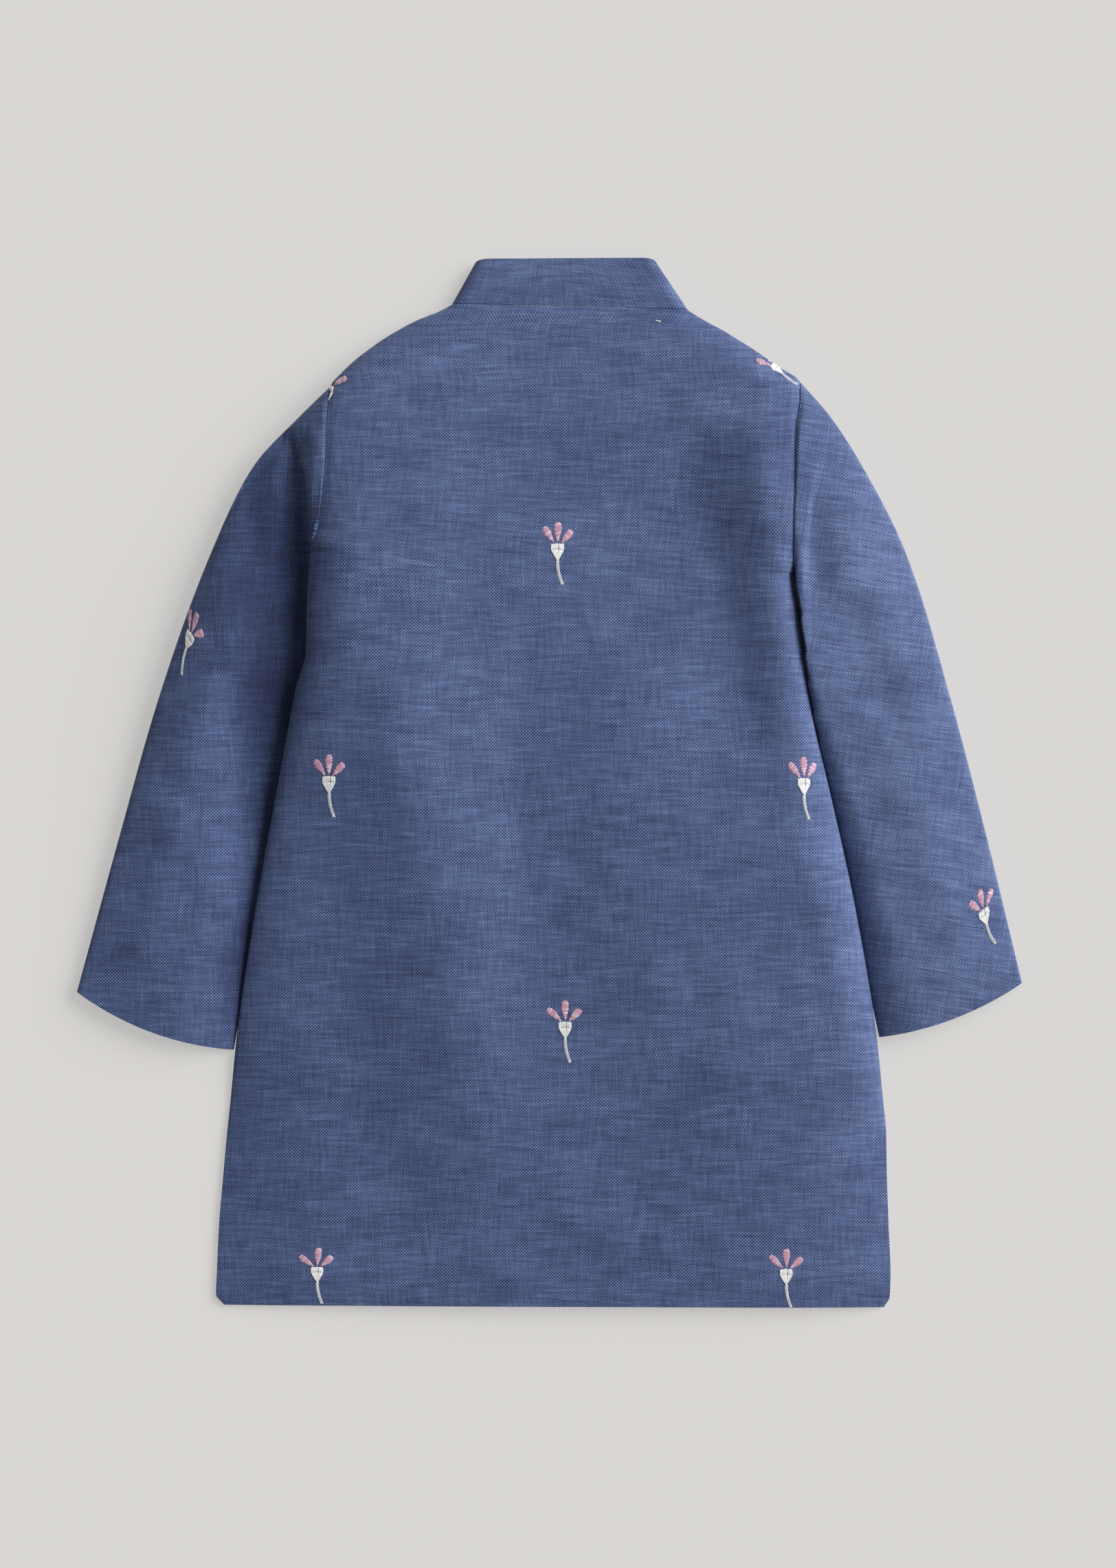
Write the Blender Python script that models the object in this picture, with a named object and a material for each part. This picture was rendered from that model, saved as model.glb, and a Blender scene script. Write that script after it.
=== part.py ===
"""A child's kurta with a band collar, laid on its front and softly filled.

Metres, +Z up. X runs across the kurta, +Y towards the collar, and Z = 0 is the surface it lies on.
Tables and sizes below are in millimetres and are turned into metres as each mesh is made.
"""

import math

import bmesh
import bpy
import numpy as np
from mathutils import Vector

MM = 0.001

# Cloth and seams
CLOTH = 1.2
COLLAR_CLOTH = 1.5
SEAM_GAP = 0.3

# Body sections from the hem up. Each row runs from the left outline to the right one.
# y: middle of the row, tilt: right end's y minus the left end's, height: top of the cloth,
# seam: height of the side or shoulder seam, round: width over which the edge rounds down
BODY_COLUMNS = ("y", "left", "right", "tilt", "height", "seam", "round")
BODY = (
    (-303.6, -189.0, 194.6, -1.4, 8.6, 1.35, 70),
    (-297.5, -194.0, 198.0, -1.0, 8.8, 1.35, 70),
    (-285.0, -193.5, 198.4, 0.0, 9.3, 1.35, 70),
    (-257.0, -192.2, 197.3, 0.0, 10.6, 1.35, 66),
    (-224.0, -189.4, 196.2, 0.0, 12.6, 1.35, 58),
    (-201.0, -187.3, 195.8, 0.0, 14.3, 1.35, 48),
    (-187.0, -185.8, 194.4, 0.0, 15.4, 1.9, 40),
    (-147.0, -181.8, 190.2, 0.0, 19.0, 4.4, 34),
    (-72.0, -170.6, 177.6, 0.0, 24.0, 9.0, 32),
    (-4.0, -158.2, 162.6, 0.0, 27.0, 11.4, 30),
    (30.0, -151.8, 154.6, 0.0, 27.8, 12.0, 30),
    (58.0, -146.4, 149.4, 0.0, 28.0, 12.0, 30),
    (76.0, -141.2, 147.2, 0.0, 28.0, 12.0, 30),
    (102.0, -140.6, 144.2, -4.0, 28.0, 12.0, 30),
    (129.0, -138.4, 141.2, -14.0, 28.0, 12.0, 28),
    (152.0, -132.6, 141.4, -10.0, 27.6, 12.0, 26),
    (180.0, -129.5, 141.6, -5.0, 27.0, 12.0, 26),
    (206.0, -128.5, 142.4, -1.0, 25.4, 12.0, 26),
    (222.0, -127.8, 145.0, 1.6, 23.4, 12.0, 26),
    (231.5, -127.2, 145.2, 3.0, 22.0, 12.0, 26),
    (240.0, -120.1, 134.6, 2.0, 20.0, 10.6, 28),
    (250.0, -107.8, 121.8, 0.0, 17.6, 9.2, 30),
    (262.0, -90.4, 103.2, 0.0, 14.6, 7.6, 30),
    (269.0, -75.6, 92.4, -2.0, 12.8, 6.6, 26),
    (274.0, -62.0, 84.4, -2.6, 11.4, 5.8, 16),
    (277.2, -56.4, 80.2, -3.2, 10.2, 5.2, 8),
)
SLIT_TOP = -201.0
SLIT_BLEND = 14.0
ARMPIT = 129.0
SHOULDER = 231.5
FRONT_CURL = 1.75  # width over which the front curls up, in seam heights

# Rows and columns of the panels' grids
EDGE_STEPS = 5
BACK_MIDDLE = 18
FRONT_MIDDLE = 10

# The largest folds, each a soft trough along a line. A negative depth is a ridge.
# Columns: x0, y0, x1, y1, depth, width
BACK_FOLDS = (
    (2, 175, 2, -150, 3.0, 55),
    (96, 205, 92, -6, 2.0, 17),
    (-62, 205, -78, 60, -1.2, 16),
    (-126, -20, -46, -236, 1.8, 17),
    (40, -40, 96, -180, -1.0, 22),
)

# Sleeves: the outer outline from the shoulder, and the inner one from the armpit, to the cuff
# Columns: x, y
LEFT_OUTER = (
    (-127.5, 230.0), (-146.4, 211.6), (-171.4, 184.6), (-196.2, 134.4),
    (-226.6, 50.4), (-250.6, -33.6), (-274.6, -120.8),
)
LEFT_INNER = (
    (-138.7, 136.0), (-141.8, 112.0), (-141.8, 84.0), (-143.6, 56.0),
    (-155.4, -4.0), (-168.8, -72.0), (-183.6, -154.6),
)
RIGHT_OUTER = (
    (145.5, 233.0), (162.6, 213.4), (181.4, 184.4), (206.6, 134.4),
    (232.6, 50.4), (254.6, -33.6), (274.6, -115.6),
)
RIGHT_INNER = (
    (141.5, 122.0), (144.9, 108.0), (147.2, 82.0), (146.8, 56.0),
    (159.6, -4.0), (175.4, -72.0), (191.8, -147.2),
)
# Sections along a sleeve: along is 0 at the armhole and 1 at the cuff
SLEEVE_COLUMNS = ("along", "outer_mid", "inner_mid", "height", "gentle")
SLEEVE = (
    (0.00, 12.0, 12.0, 25.2, 0.0),
    (0.05, 11.8, 10.6, 25.0, 0.3),
    (0.12, 11.4, 7.0, 24.6, 0.75),
    (0.22, 10.8, 3.0, 23.6, 1.0),
    (0.50, 9.4, 2.1, 20.6, 1.0),
    (0.80, 7.0, 2.1, 15.6, 1.0),
    (1.00, 5.2, 2.4, 11.0, 1.0),
)
SLEEVE_STEPS = (
    0.0, 0.03, 0.06, 0.1, 0.15, 0.21, 0.28, 0.36, 0.45, 0.54, 0.63, 0.72, 0.81, 0.9, 0.96, 1.0,
)
SLEEVE_HALF_STEPS = 13
INNER_FOLD = 1.6
ARCH_POWER = 3.0
SEAM_BOW_FADE = 0.3
LEFT_CUFF_BOW = 6.6
RIGHT_CUFF_BOW = 5.0
LEFT_FOLDS = (
    (-146, 196, -149, 128, 7.0, 7),
    (-182, 60, -214, -60, 1.6, 13),
    (-206, -20, -236, -96, -1.2, 12),
)
RIGHT_FOLDS = (
    (155, 176, 158, 116, 3.5, 8),
    (176, 96, 206, 20, 1.6, 12),
    (206, -10, 236, -84, -1.2, 12),
)

# Neck and collar
CENTRE = 12.0
NECK_LOW = 226.0
NECK_LEFT = (-56.4, 278.8)
NECK_RIGHT = (80.2, 275.6)
NECK_TIP = 3.0
NECK_START = (0.5, -0.86)
NECK_REACH = 34.0
NECK_FLOOR_REACH = 40.0
COLLAR_TOP_LEFT = (-43.2, 305.0)
COLLAR_TOP_RIGHT = (62.0, 305.6)
COLLAR_WIDTH = 29.0
COLLAR_SEAM_HEIGHT = 10.2
COLLAR_TOP_HEIGHT = 8.4
COLLAR_ROUND = 8.0
FOLD_SHARE = 0.14  # share of the front neck over which the collar turns under
COLLAR_ROWS = 5
COLLAR_END_GAP = 0.5

# Placket and buttons, on the side that faces the floor
PLACKET_WIDTH = 24.0
PLACKET_LENGTH = 130.0
PLACKET_LIFT = 2.4
PLACKET_EDGE = 5.0
PLACKET_INSET = 2.0
PLACKET_STEP = 0.8
FLOOR_CLEAR = 0.35
BUTTON_RADIUS = 4.75
BUTTON_THICK = 1.6
BUTTON_COUNT = 3
BUTTON_PITCH = 40.0
BUTTON_FIRST = 24.0

CLOTH_BLUE = (0.075, 0.105, 0.215)
BUTTON_BLUE = (0.05, 0.07, 0.15)


def clear_scene():
    for item in list(bpy.data.objects):
        bpy.data.objects.remove(item)


def material(name, colour, roughness):
    made = bpy.data.materials.new(name)
    made.use_nodes = True
    shader = made.node_tree.nodes["Principled BSDF"]
    shader.inputs["Base Color"].default_value = (*colour, 1.0)
    shader.inputs["Roughness"].default_value = roughness
    shader.inputs["Metallic"].default_value = 0.0
    return made


def slopes(keys, values):
    """Slopes of a smooth curve through the values that never overshoots them."""
    step = np.diff(keys)
    rise = np.diff(values) / step
    inner = np.zeros(len(keys))
    for i in range(1, len(keys) - 1):
        if rise[i - 1] * rise[i] > 0:
            near = 2 * step[i] + step[i - 1]
            far = step[i] + 2 * step[i - 1]
            inner[i] = (near + far) / (near / rise[i - 1] + far / rise[i])
    inner[0] = rise[0]
    inner[-1] = rise[-1]
    return inner


def smooth_at(keys, values, where):
    """The smooth curve through (keys, values), read at where."""
    keys = np.asarray(keys, float)
    values = np.asarray(values, float)
    where = np.clip(where, keys[0], keys[-1])
    slope = slopes(keys, values)
    i = np.clip(np.searchsorted(keys, where, side="right") - 1, 0, len(keys) - 2)
    step = keys[i + 1] - keys[i]
    t = (where - keys[i]) / step
    start = (1 + 2 * t) * (1 - t) ** 2 * values[i] + t * (1 - t) ** 2 * step * slope[i]
    end = t * t * (3 - 2 * t) * values[i + 1] + t * t * (t - 1) * step * slope[i + 1]
    return start + end


def column(table, columns, name, where):
    """A named column of a table, read at a value of the table's first column."""
    keys = [row[0] for row in table]
    values = [row[columns.index(name)] for row in table]
    return float(smooth_at(keys, values, where))


def along_path(points, share):
    """A point a given share of the way along a smooth path."""
    points = np.asarray(points, float)
    reach = np.concatenate([[0], np.cumsum(np.linalg.norm(np.diff(points, axis=0), axis=1))])
    reach /= reach[-1]
    return np.array([float(smooth_at(reach, points[:, k], share)) for k in range(2)])


def fold_height(folds, x, y):
    """How far the folds lower (or raise, if negative) the cloth at x, y."""
    drop = 0.0
    for x0, y0, x1, y1, depth, width in folds:
        run = np.array([x1 - x0, y1 - y0], float)
        share = float(np.dot([x - x0, y - y0], run) / np.dot(run, run))
        near = np.array([x0, y0]) + run * min(max(share, 0.0), 1.0)
        away = math.hypot(x - near[0], y - near[1])
        drop += depth * math.exp(-((away / width) ** 2))
    return drop


def arch(share):
    """Height of an open armhole across it, from 0 at its ends to 1."""
    return math.sqrt(max(0.0, 1 - abs(2 * share - 1) ** ARCH_POWER))


def floor_arch(share):
    """How far the underside of an arch is off the floor, from 1 at its ends to 0."""
    return max(0.0, 1 - 1.06 * math.sqrt(arch(share)))


def body_row(y):
    """The named sizes of the body's section at y."""
    return {name: column(BODY, BODY_COLUMNS, name, y) for name in BODY_COLUMNS}


def armhole_share(y):
    """0 at the shoulder and 1 at the armpit; outside them there is no armhole."""
    return (SHOULDER - y) / (SHOULDER - ARMPIT)


def slit_share(y):
    """0 where the side is sewn and 1 where it is slit."""
    return min(max((SLIT_TOP + SLIT_BLEND - y) / SLIT_BLEND, 0.0), 1.0)


def edge_heights(row):
    """Heights of the back's and the front's edge at a row of the body."""
    share = armhole_share(row["y"])
    if 0 < share < 1:
        top = SLEEVE[0][SLEEVE_COLUMNS.index("height")]
        low = row["seam"] - SEAM_GAP / 2
        return row["seam"] + (top - row["seam"]) * arch(share), low * floor_arch(share)
    lap = SEAM_GAP / 2 + CLOTH * slit_share(row["y"])
    return row["seam"] + lap, max(0.0, row["seam"] - lap)


def rounding_power(row):
    """2 for an edge that rounds down steeply, 1 for one that slopes gently."""
    share = armhole_share(row["y"])
    if 0 < share < 1:
        return 1 + max(0.0, 1 - min(share, 1 - share) / 0.12)
    return 2 - slit_share(row["y"])


def rounding(share, power):
    share = min(max(share, 0.0), 1.0)
    return (1 - (1 - share) ** 2) ** (1 / power)


def across(row, wide, middle):
    """Places along a row: close together where the edges round, evenly spaced between."""
    turn = [wide * (1 - math.cos(math.pi / 2 * k / EDGE_STEPS)) for k in range(EDGE_STEPS + 1)]
    left = [row["left"] + d for d in turn]
    right = [row["right"] - d for d in reversed(turn)]
    inside = np.linspace(left[-1], right[0], middle + 1)[1:-1]
    return left + list(inside) + right


def back_point(row, x):
    edge = edge_heights(row)[0]
    near = min(x - row["left"], row["right"] - x)
    rise = rounding(near / row["round"], rounding_power(row))
    y = row["y"] + row["tilt"] * ((x - row["left"]) / (row["right"] - row["left"]) - 0.5)
    top = row["height"] - fold_height(BACK_FOLDS, x, y)
    return x, y, edge + (top - edge) * rise


def front_point(row, x):
    edge = edge_heights(row)[1]
    wide = FRONT_CURL * row["seam"]
    near = min(x - row["left"], row["right"] - x)
    y = row["y"] + row["tilt"] * ((x - row["left"]) / (row["right"] - row["left"]) - 0.5)
    return x, y, edge * (1 - rounding(near / wide, rounding_power(row)))


def body_rows():
    """Every y at which the panels have a row of points."""
    ends = [0.02, 0.06, 0.13, 0.23, 0.36, 0.5, 0.64, 0.77, 0.87, 0.94, 0.98]
    armhole = [SHOULDER - (SHOULDER - ARMPIT) * share for share in ends]
    table = [row[0] for row in BODY if not ARMPIT < row[0] < SHOULDER]
    extra = [-272.0, -240.0, -212.0, -166.0, -122.0, -97.0, -48.0, -26.0, 14.0, 44.0, 116.0, 256.0]
    return sorted(table + armhole + extra)


def normals(grid, ring, side):
    """Unit normals of a grid of points; side is 1 or -1 so that they face out."""
    rows = np.gradient(grid, axis=0)
    if ring:
        cols = np.roll(grid, -1, axis=1) - np.roll(grid, 1, axis=1)
    else:
        cols = np.gradient(grid, axis=1)
    found = np.cross(cols, rows) * side
    return found / np.maximum(np.linalg.norm(found, axis=2, keepdims=True), 1e-9)


def wall(name, outer, inner, ring, look, cuts=()):
    """One closed wall between two matching grids of points, given in millimetres."""
    rows, cols = outer.shape[:2]
    mesh = bmesh.new()
    sides = []
    for grid in (outer, inner):
        sides.append([[mesh.verts.new(Vector(p) * MM) for p in line] for line in grid])
    last = cols if ring else cols - 1
    for r in range(rows - 1):
        for c in range(last):
            n = (c + 1) % cols
            for side in sides:
                mesh.faces.new((side[r][c], side[r][n], side[r + 1][n], side[r + 1][c]))
    for r in (0, rows - 1):
        for c in range(last):
            n = (c + 1) % cols
            mesh.faces.new((sides[0][r][c], sides[0][r][n], sides[1][r][n], sides[1][r][c]))
    if not ring:
        for c in (0, cols - 1):
            for r in range(rows - 1):
                mesh.faces.new((sides[0][r][c], sides[0][r + 1][c], sides[1][r + 1][c], sides[1][r][c]))
    bmesh.ops.triangulate(mesh, faces=mesh.faces[:])
    bmesh.ops.recalc_face_normals(mesh, faces=mesh.faces[:])
    data = bpy.data.meshes.new(name)
    mesh.to_mesh(data)
    mesh.free()
    data.materials.append(look)
    thing = bpy.data.objects.new(name, data)
    bpy.context.scene.collection.objects.link(thing)
    for cutter in cuts:
        cut = thing.modifiers.new("Neck", "BOOLEAN")
        cut.operation = "DIFFERENCE"
        cut.solver = "EXACT"
        cut.object = cutter
    data.shade_smooth()
    data.set_sharp_from_angle(angle=math.radians(40))
    return thing


def panel_inner(outer, rows, side):
    """The inner points of a panel. Its side edges are cut square to the seam they meet."""
    inner = outer - normals(outer, False, side) * CLOTH
    for end, inward in ((0, 1), (-1, -1)):
        edge = outer[:, end, :2]
        tangent = np.gradient(edge, axis=0)
        tangent /= np.linalg.norm(tangent, axis=1, keepdims=True)
        for r, row in enumerate(rows):
            if 0 < armhole_share(row["y"]) < 1:
                continue
            slit = slit_share(row["y"])
            flat = np.array([tangent[r][1], -tangent[r][0], 0.0]) * inward * (1 - slit)
            drop = np.array([0.0, 0.0, -side]) * slit
            push = flat + drop
            inner[r, end] = outer[r, end] + CLOTH * push / np.linalg.norm(push)
    return inner


def build_back(look):
    rows = [body_row(y) for y in body_rows()]
    outer = np.array([[back_point(r, x) for x in across(r, r["round"], BACK_MIDDLE)] for r in rows])
    return wall("back", outer, panel_inner(outer, rows, 1), False, look)


def build_front(look):
    rows = [body_row(y) for y in body_rows()]
    places = [across(r, FRONT_CURL * r["seam"], FRONT_MIDDLE) for r in rows]
    outer = np.array([[front_point(r, x) for x in line] for r, line in zip(rows, places)])
    return wall("front", outer, panel_inner(outer, rows, -1), False, look, [neck_cutter()])


def bezier(a, b, c, d, t):
    return (1 - t) ** 3 * a + 3 * (1 - t) ** 2 * t * b + 3 * (1 - t) * t * t * c + t ** 3 * d


def neckline(side, share):
    """The front neck seam, from the shoulder (share 0) to the centre front (share 1)."""
    top = np.array(NECK_LEFT if side < 0 else NECK_RIGHT, float)
    start = top + np.array([-side * NECK_TIP, 0.0])
    away = start + np.array([-side * NECK_START[0], NECK_START[1]]) * NECK_REACH
    low = np.array([CENTRE, NECK_LOW])
    near = low + np.array([side * NECK_FLOOR_REACH, 0.0])
    return bezier(start, away, near, low, share)


def neck_cutter():
    """A guide solid that cuts the neck and the placket slot out of the front."""
    half = PLACKET_WIDTH / 2
    left = [neck_edge(-1, share, 0.0) for share in front_shares()]
    right = [neck_edge(1, share, 0.0) for share in reversed(front_shares())]
    edge = [spot for spot in left if spot[0] < CENTRE - half]
    edge += [np.array([CENTRE - half, NECK_LOW]), np.array([CENTRE - half, NECK_LOW - PLACKET_LENGTH])]
    edge += [np.array([CENTRE + half, NECK_LOW - PLACKET_LENGTH]), np.array([CENTRE + half, NECK_LOW])]
    edge += [spot for spot in right if spot[0] > CENTRE + half]
    edge += [edge[-1] + np.array([0.0, 20.0]), edge[0] + np.array([0.0, 20.0])]
    mesh = bmesh.new()
    low = [mesh.verts.new((x * MM, y * MM, -5 * MM)) for x, y in edge]
    face = mesh.faces.new(low)
    lifted = bmesh.ops.extrude_face_region(mesh, geom=[face])
    bmesh.ops.translate(
        mesh, vec=(0, 0, 30 * MM), verts=[v for v in lifted["geom"] if isinstance(v, bmesh.types.BMVert)]
    )
    bmesh.ops.recalc_face_normals(mesh, faces=mesh.faces[:])
    data = bpy.data.meshes.new("neck_guide")
    mesh.to_mesh(data)
    mesh.free()
    guide = bpy.data.objects.new("neck_guide", data)
    bpy.context.scene.collection.objects.link(guide)
    guide.hide_render = True
    guide.display_type = "WIRE"
    return guide


def sleeve_row(side, share):
    """Named sizes of the sleeve's section at a share of the way from armhole to cuff."""
    row = {name: column(SLEEVE, SLEEVE_COLUMNS, name, share) for name in SLEEVE_COLUMNS}
    row["outer"] = along_path(LEFT_OUTER if side < 0 else RIGHT_OUTER, share)
    row["inner"] = along_path(LEFT_INNER if side < 0 else RIGHT_INNER, share)
    return row


def armhole_point(side, share):
    """The armhole seam in plan, from the shoulder (share 0) to the armpit (share 1)."""
    row = body_row(SHOULDER - (SHOULDER - ARMPIT) * share)
    x = row["left"] - SEAM_GAP if side < 0 else row["right"] + SEAM_GAP
    return np.array([x, row["y"] + side * row["tilt"] / 2])


def sleeve_plan(side, row, share):
    """Where a point across the sleeve lies in plan; share is 0 at the outer edge."""
    spot = row["outer"] + (row["inner"] - row["outer"]) * share
    straight = armhole_point(side, 0.0) * (1 - share) + armhole_point(side, 1.0) * share
    fade = max(0.0, 1 - row["along"] / SEAM_BOW_FADE)
    spot = spot + (armhole_point(side, share) - straight) * fade
    if row["along"] == 0:
        spot = armhole_point(side, share)
    run = row["inner"] - row["outer"]
    down = np.array([run[1], -run[0]]) * (1 if side < 0 else -1)
    down /= np.linalg.norm(down)
    bow = LEFT_CUFF_BOW if side < 0 else RIGHT_CUFF_BOW
    return spot + down * bow * 4 * share * (1 - share) * max(0.0, row["along"] - 0.4) / 0.6


def sleeve_point(side, row, share, upper):
    """A point of the sleeve's outer face; upper is True on the side away from the floor."""
    spot = sleeve_plan(side, row, share)
    mid = row["outer_mid"] * (1 - share) + row["inner_mid"] * share
    if not upper:
        return spot[0], spot[1], mid * floor_arch(share)
    steep = arch(share)
    slope = arch(share) if share < 0.5 else 1 - (2 * share - 1) ** 2
    cap = INNER_FOLD * math.sqrt(max(0.0, 1 - abs(2 * share - 1) ** 40))
    soft = cap + (row["height"] - mid - INNER_FOLD) * slope
    full = (row["height"] - mid) * steep
    rise = full * (1 - row["gentle"]) + soft * row["gentle"]
    folds = LEFT_FOLDS if side < 0 else RIGHT_FOLDS
    drop = fold_height(folds, *spot) * arch(share) * min(1.0, row["along"] / 0.05)
    return spot[0], spot[1], mid + rise - drop


def build_sleeve(name, side, look):
    turn = [(1 - math.cos(math.pi * k / SLEEVE_HALF_STEPS)) / 2 for k in range(SLEEVE_HALF_STEPS + 1)]
    rings = []
    for share in SLEEVE_STEPS:
        row = sleeve_row(side, share)
        top = [sleeve_point(side, row, u, True) for u in turn]
        low = [sleeve_point(side, row, u, False) for u in reversed(turn[1:-1])]
        rings.append(top + low)
    outer = np.array(rings)
    inner = outer - normals(outer, True, side) * CLOTH
    inner[0, :, 0] = outer[0, :, 0]
    return wall(name, outer, inner, True, look)


def neck_edge(side, share, off):
    """The front neck edge, moved off into the neck hole; it starts at the end of the back's seam."""
    start = np.array(NECK_LEFT if side < 0 else NECK_RIGHT)
    spot, turn = neck_frame(side, share)
    blend = min(1.0, share / FOLD_SHARE)
    return (spot + turn * off) * blend + (start + np.array([0.0, off])) * (1 - blend)


def front_shares():
    """Places along half of the front neck, closest together at the collar's fold."""
    bend = [FOLD_SHARE * (1 - math.cos(math.pi / 2 * k / 4)) for k in range(5)]
    return bend + [0.22, 0.32, 0.43, 0.54, 0.65, 0.76, 0.88, 1.0]


def collar_seam(place):
    """The collar's lower edge. place is -1..1 over the back, beyond that along the front."""
    left = np.array(NECK_LEFT)
    right = np.array(NECK_RIGHT)
    if abs(place) <= 1:
        spot = left + (right - left) * (place + 1) / 2 + np.array([0.0, SEAM_GAP])
        near = (1 - abs(place)) / 2 * (right[0] - left[0])
        rise = rounding(near / COLLAR_ROUND, 2)
        mid = COLLAR_SEAM_HEIGHT / 2
        return np.array([spot[0], spot[1], mid + (COLLAR_SEAM_HEIGHT - mid) * rise])
    side = -1 if place < 0 else 1
    share = abs(place) - 1
    spot = neck_edge(side, share, SEAM_GAP)
    rise = rounding(share / FOLD_SHARE, 2)
    return np.array([spot[0], spot[1], COLLAR_SEAM_HEIGHT / 2 * (1 - rise)])


def neck_frame(side, share):
    """A point of the front neck seam and the unit direction from it into the neck hole."""
    share = min(share, 1.0)
    spot = neckline(side, share)
    run = neckline(side, min(share + 0.01, 1.0)) - neckline(side, max(share - 0.01, 0.0))
    turn = np.array([run[1], -run[0]]) * side
    turn /= np.linalg.norm(turn)
    if turn[1] < 0:
        turn = -turn
    return spot, turn


def collar_top(place):
    """The collar's upper edge, matched to collar_seam."""
    left = np.array(COLLAR_TOP_LEFT)
    right = np.array(COLLAR_TOP_RIGHT)
    mid = COLLAR_TOP_HEIGHT / 2
    if abs(place) <= 1:
        spot = left + (right - left) * (place + 1) / 2
        near = (1 - abs(place)) / 2 * (right[0] - left[0])
        rise = rounding(near / COLLAR_ROUND, 2)
        return np.array([spot[0], spot[1], mid + (COLLAR_TOP_HEIGHT - mid) * rise])
    side = -1 if place < 0 else 1
    share = abs(place) - 1
    spot, turn = neck_frame(side, share)
    spot = spot + turn * COLLAR_WIDTH
    blend = min(1.0, share / 0.3)
    blend = blend * blend * (3 - 2 * blend)
    spot = spot * blend + (left if side < 0 else right) * (1 - blend)
    rise = rounding(share / FOLD_SHARE, 2)
    return np.array([spot[0], spot[1], mid * (1 - rise)])


def collar_places():
    """Places along the collar strip, closest together at its two folds."""
    front = front_shares()
    wide = 2 * COLLAR_ROUND / (NECK_RIGHT[0] - NECK_LEFT[0])
    turn = [wide * (1 - math.cos(math.pi / 2 * k / 4)) for k in range(1, 5)]
    back = [-1 + t for t in turn] + list(np.linspace(-1 + wide, 1 - wide, 12)[1:-1])
    back += [1 - t for t in reversed(turn)]
    return [-1 - s for s in reversed(front)] + back + [1 + s for s in front]


def build_collar(look):
    lines = []
    for place in collar_places():
        low = collar_seam(place)
        high = collar_top(place)
        lines.append([low + (high - low) * k / (COLLAR_ROWS - 1) for k in range(COLLAR_ROWS)])
    outer = np.array(lines)
    outer[0, :, 0] = CENTRE - COLLAR_END_GAP
    outer[-1, :, 0] = CENTRE + COLLAR_END_GAP
    inner = outer - normals(outer, False, -1) * COLLAR_CLOTH
    return wall("collar", outer, inner, False, look)


def placket_strip(name, inset, raised, look):
    """A strip that bulges away from the floor so that the buttons have room under it."""
    half = PLACKET_WIDTH / 2 - SEAM_GAP - inset
    low = NECK_LOW - PLACKET_LENGTH + SEAM_GAP + inset
    high = NECK_LOW - SEAM_GAP - inset
    xs = [-half, -half + 1.5, -half + 3, -half + PLACKET_EDGE, 0.0]
    xs += [half - PLACKET_EDGE, half - 3, half - 1.5, half]
    ys = [low, low + 1.5, low + 3, low + PLACKET_EDGE, (low + high) / 2]
    ys += [high - PLACKET_EDGE, high - 3, high - 1.5, high]

    def lift(x, y):
        near = min(half - abs(x), y - low, high - y) + inset
        share = min(max(near / PLACKET_EDGE, 0.0), 1.0)
        return FLOOR_CLEAR + (PLACKET_LIFT - FLOOR_CLEAR) * share * share * (3 - 2 * share) + raised

    lower = np.array([[(CENTRE + x, y, lift(x, y)) for x in xs] for y in ys])
    upper = lower + np.array([0.0, 0.0, CLOTH])
    return wall(name, lower, upper, False, look)


def build_button(name, y, look):
    mesh = bmesh.new()
    bmesh.ops.create_cone(
        mesh,
        cap_ends=True,
        segments=20,
        radius1=BUTTON_RADIUS * MM,
        radius2=BUTTON_RADIUS * MM,
        depth=BUTTON_THICK * MM,
    )
    data = bpy.data.meshes.new(name)
    mesh.to_mesh(data)
    mesh.free()
    data.materials.append(look)
    data.shade_smooth()
    data.set_sharp_from_angle(angle=math.radians(40))
    button = bpy.data.objects.new(name, data)
    button.location = (CENTRE * MM, y * MM, (FLOOR_CLEAR + BUTTON_THICK / 2) * MM)
    bpy.context.scene.collection.objects.link(button)
    return button


def main():
    clear_scene()
    names = ("back", "front", "sleeve_left", "sleeve_right", "collar", "placket_outer", "placket_inner")
    looks = {name: material(name, CLOTH_BLUE, 0.85) for name in names}
    build_back(looks["back"])
    build_front(looks["front"])
    build_sleeve("sleeve_left", -1, looks["sleeve_left"])
    build_sleeve("sleeve_right", 1, looks["sleeve_right"])
    build_collar(looks["collar"])
    placket_strip("placket_outer", 0.0, 0.0, looks["placket_outer"])
    placket_strip("placket_inner", PLACKET_INSET, CLOTH + PLACKET_STEP, looks["placket_inner"])
    for k in range(BUTTON_COUNT):
        name = f"button_{k + 1}"
        build_button(name, NECK_LOW - BUTTON_FIRST - k * BUTTON_PITCH, material(name, BUTTON_BLUE, 0.4))


main()
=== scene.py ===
import math

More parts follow.
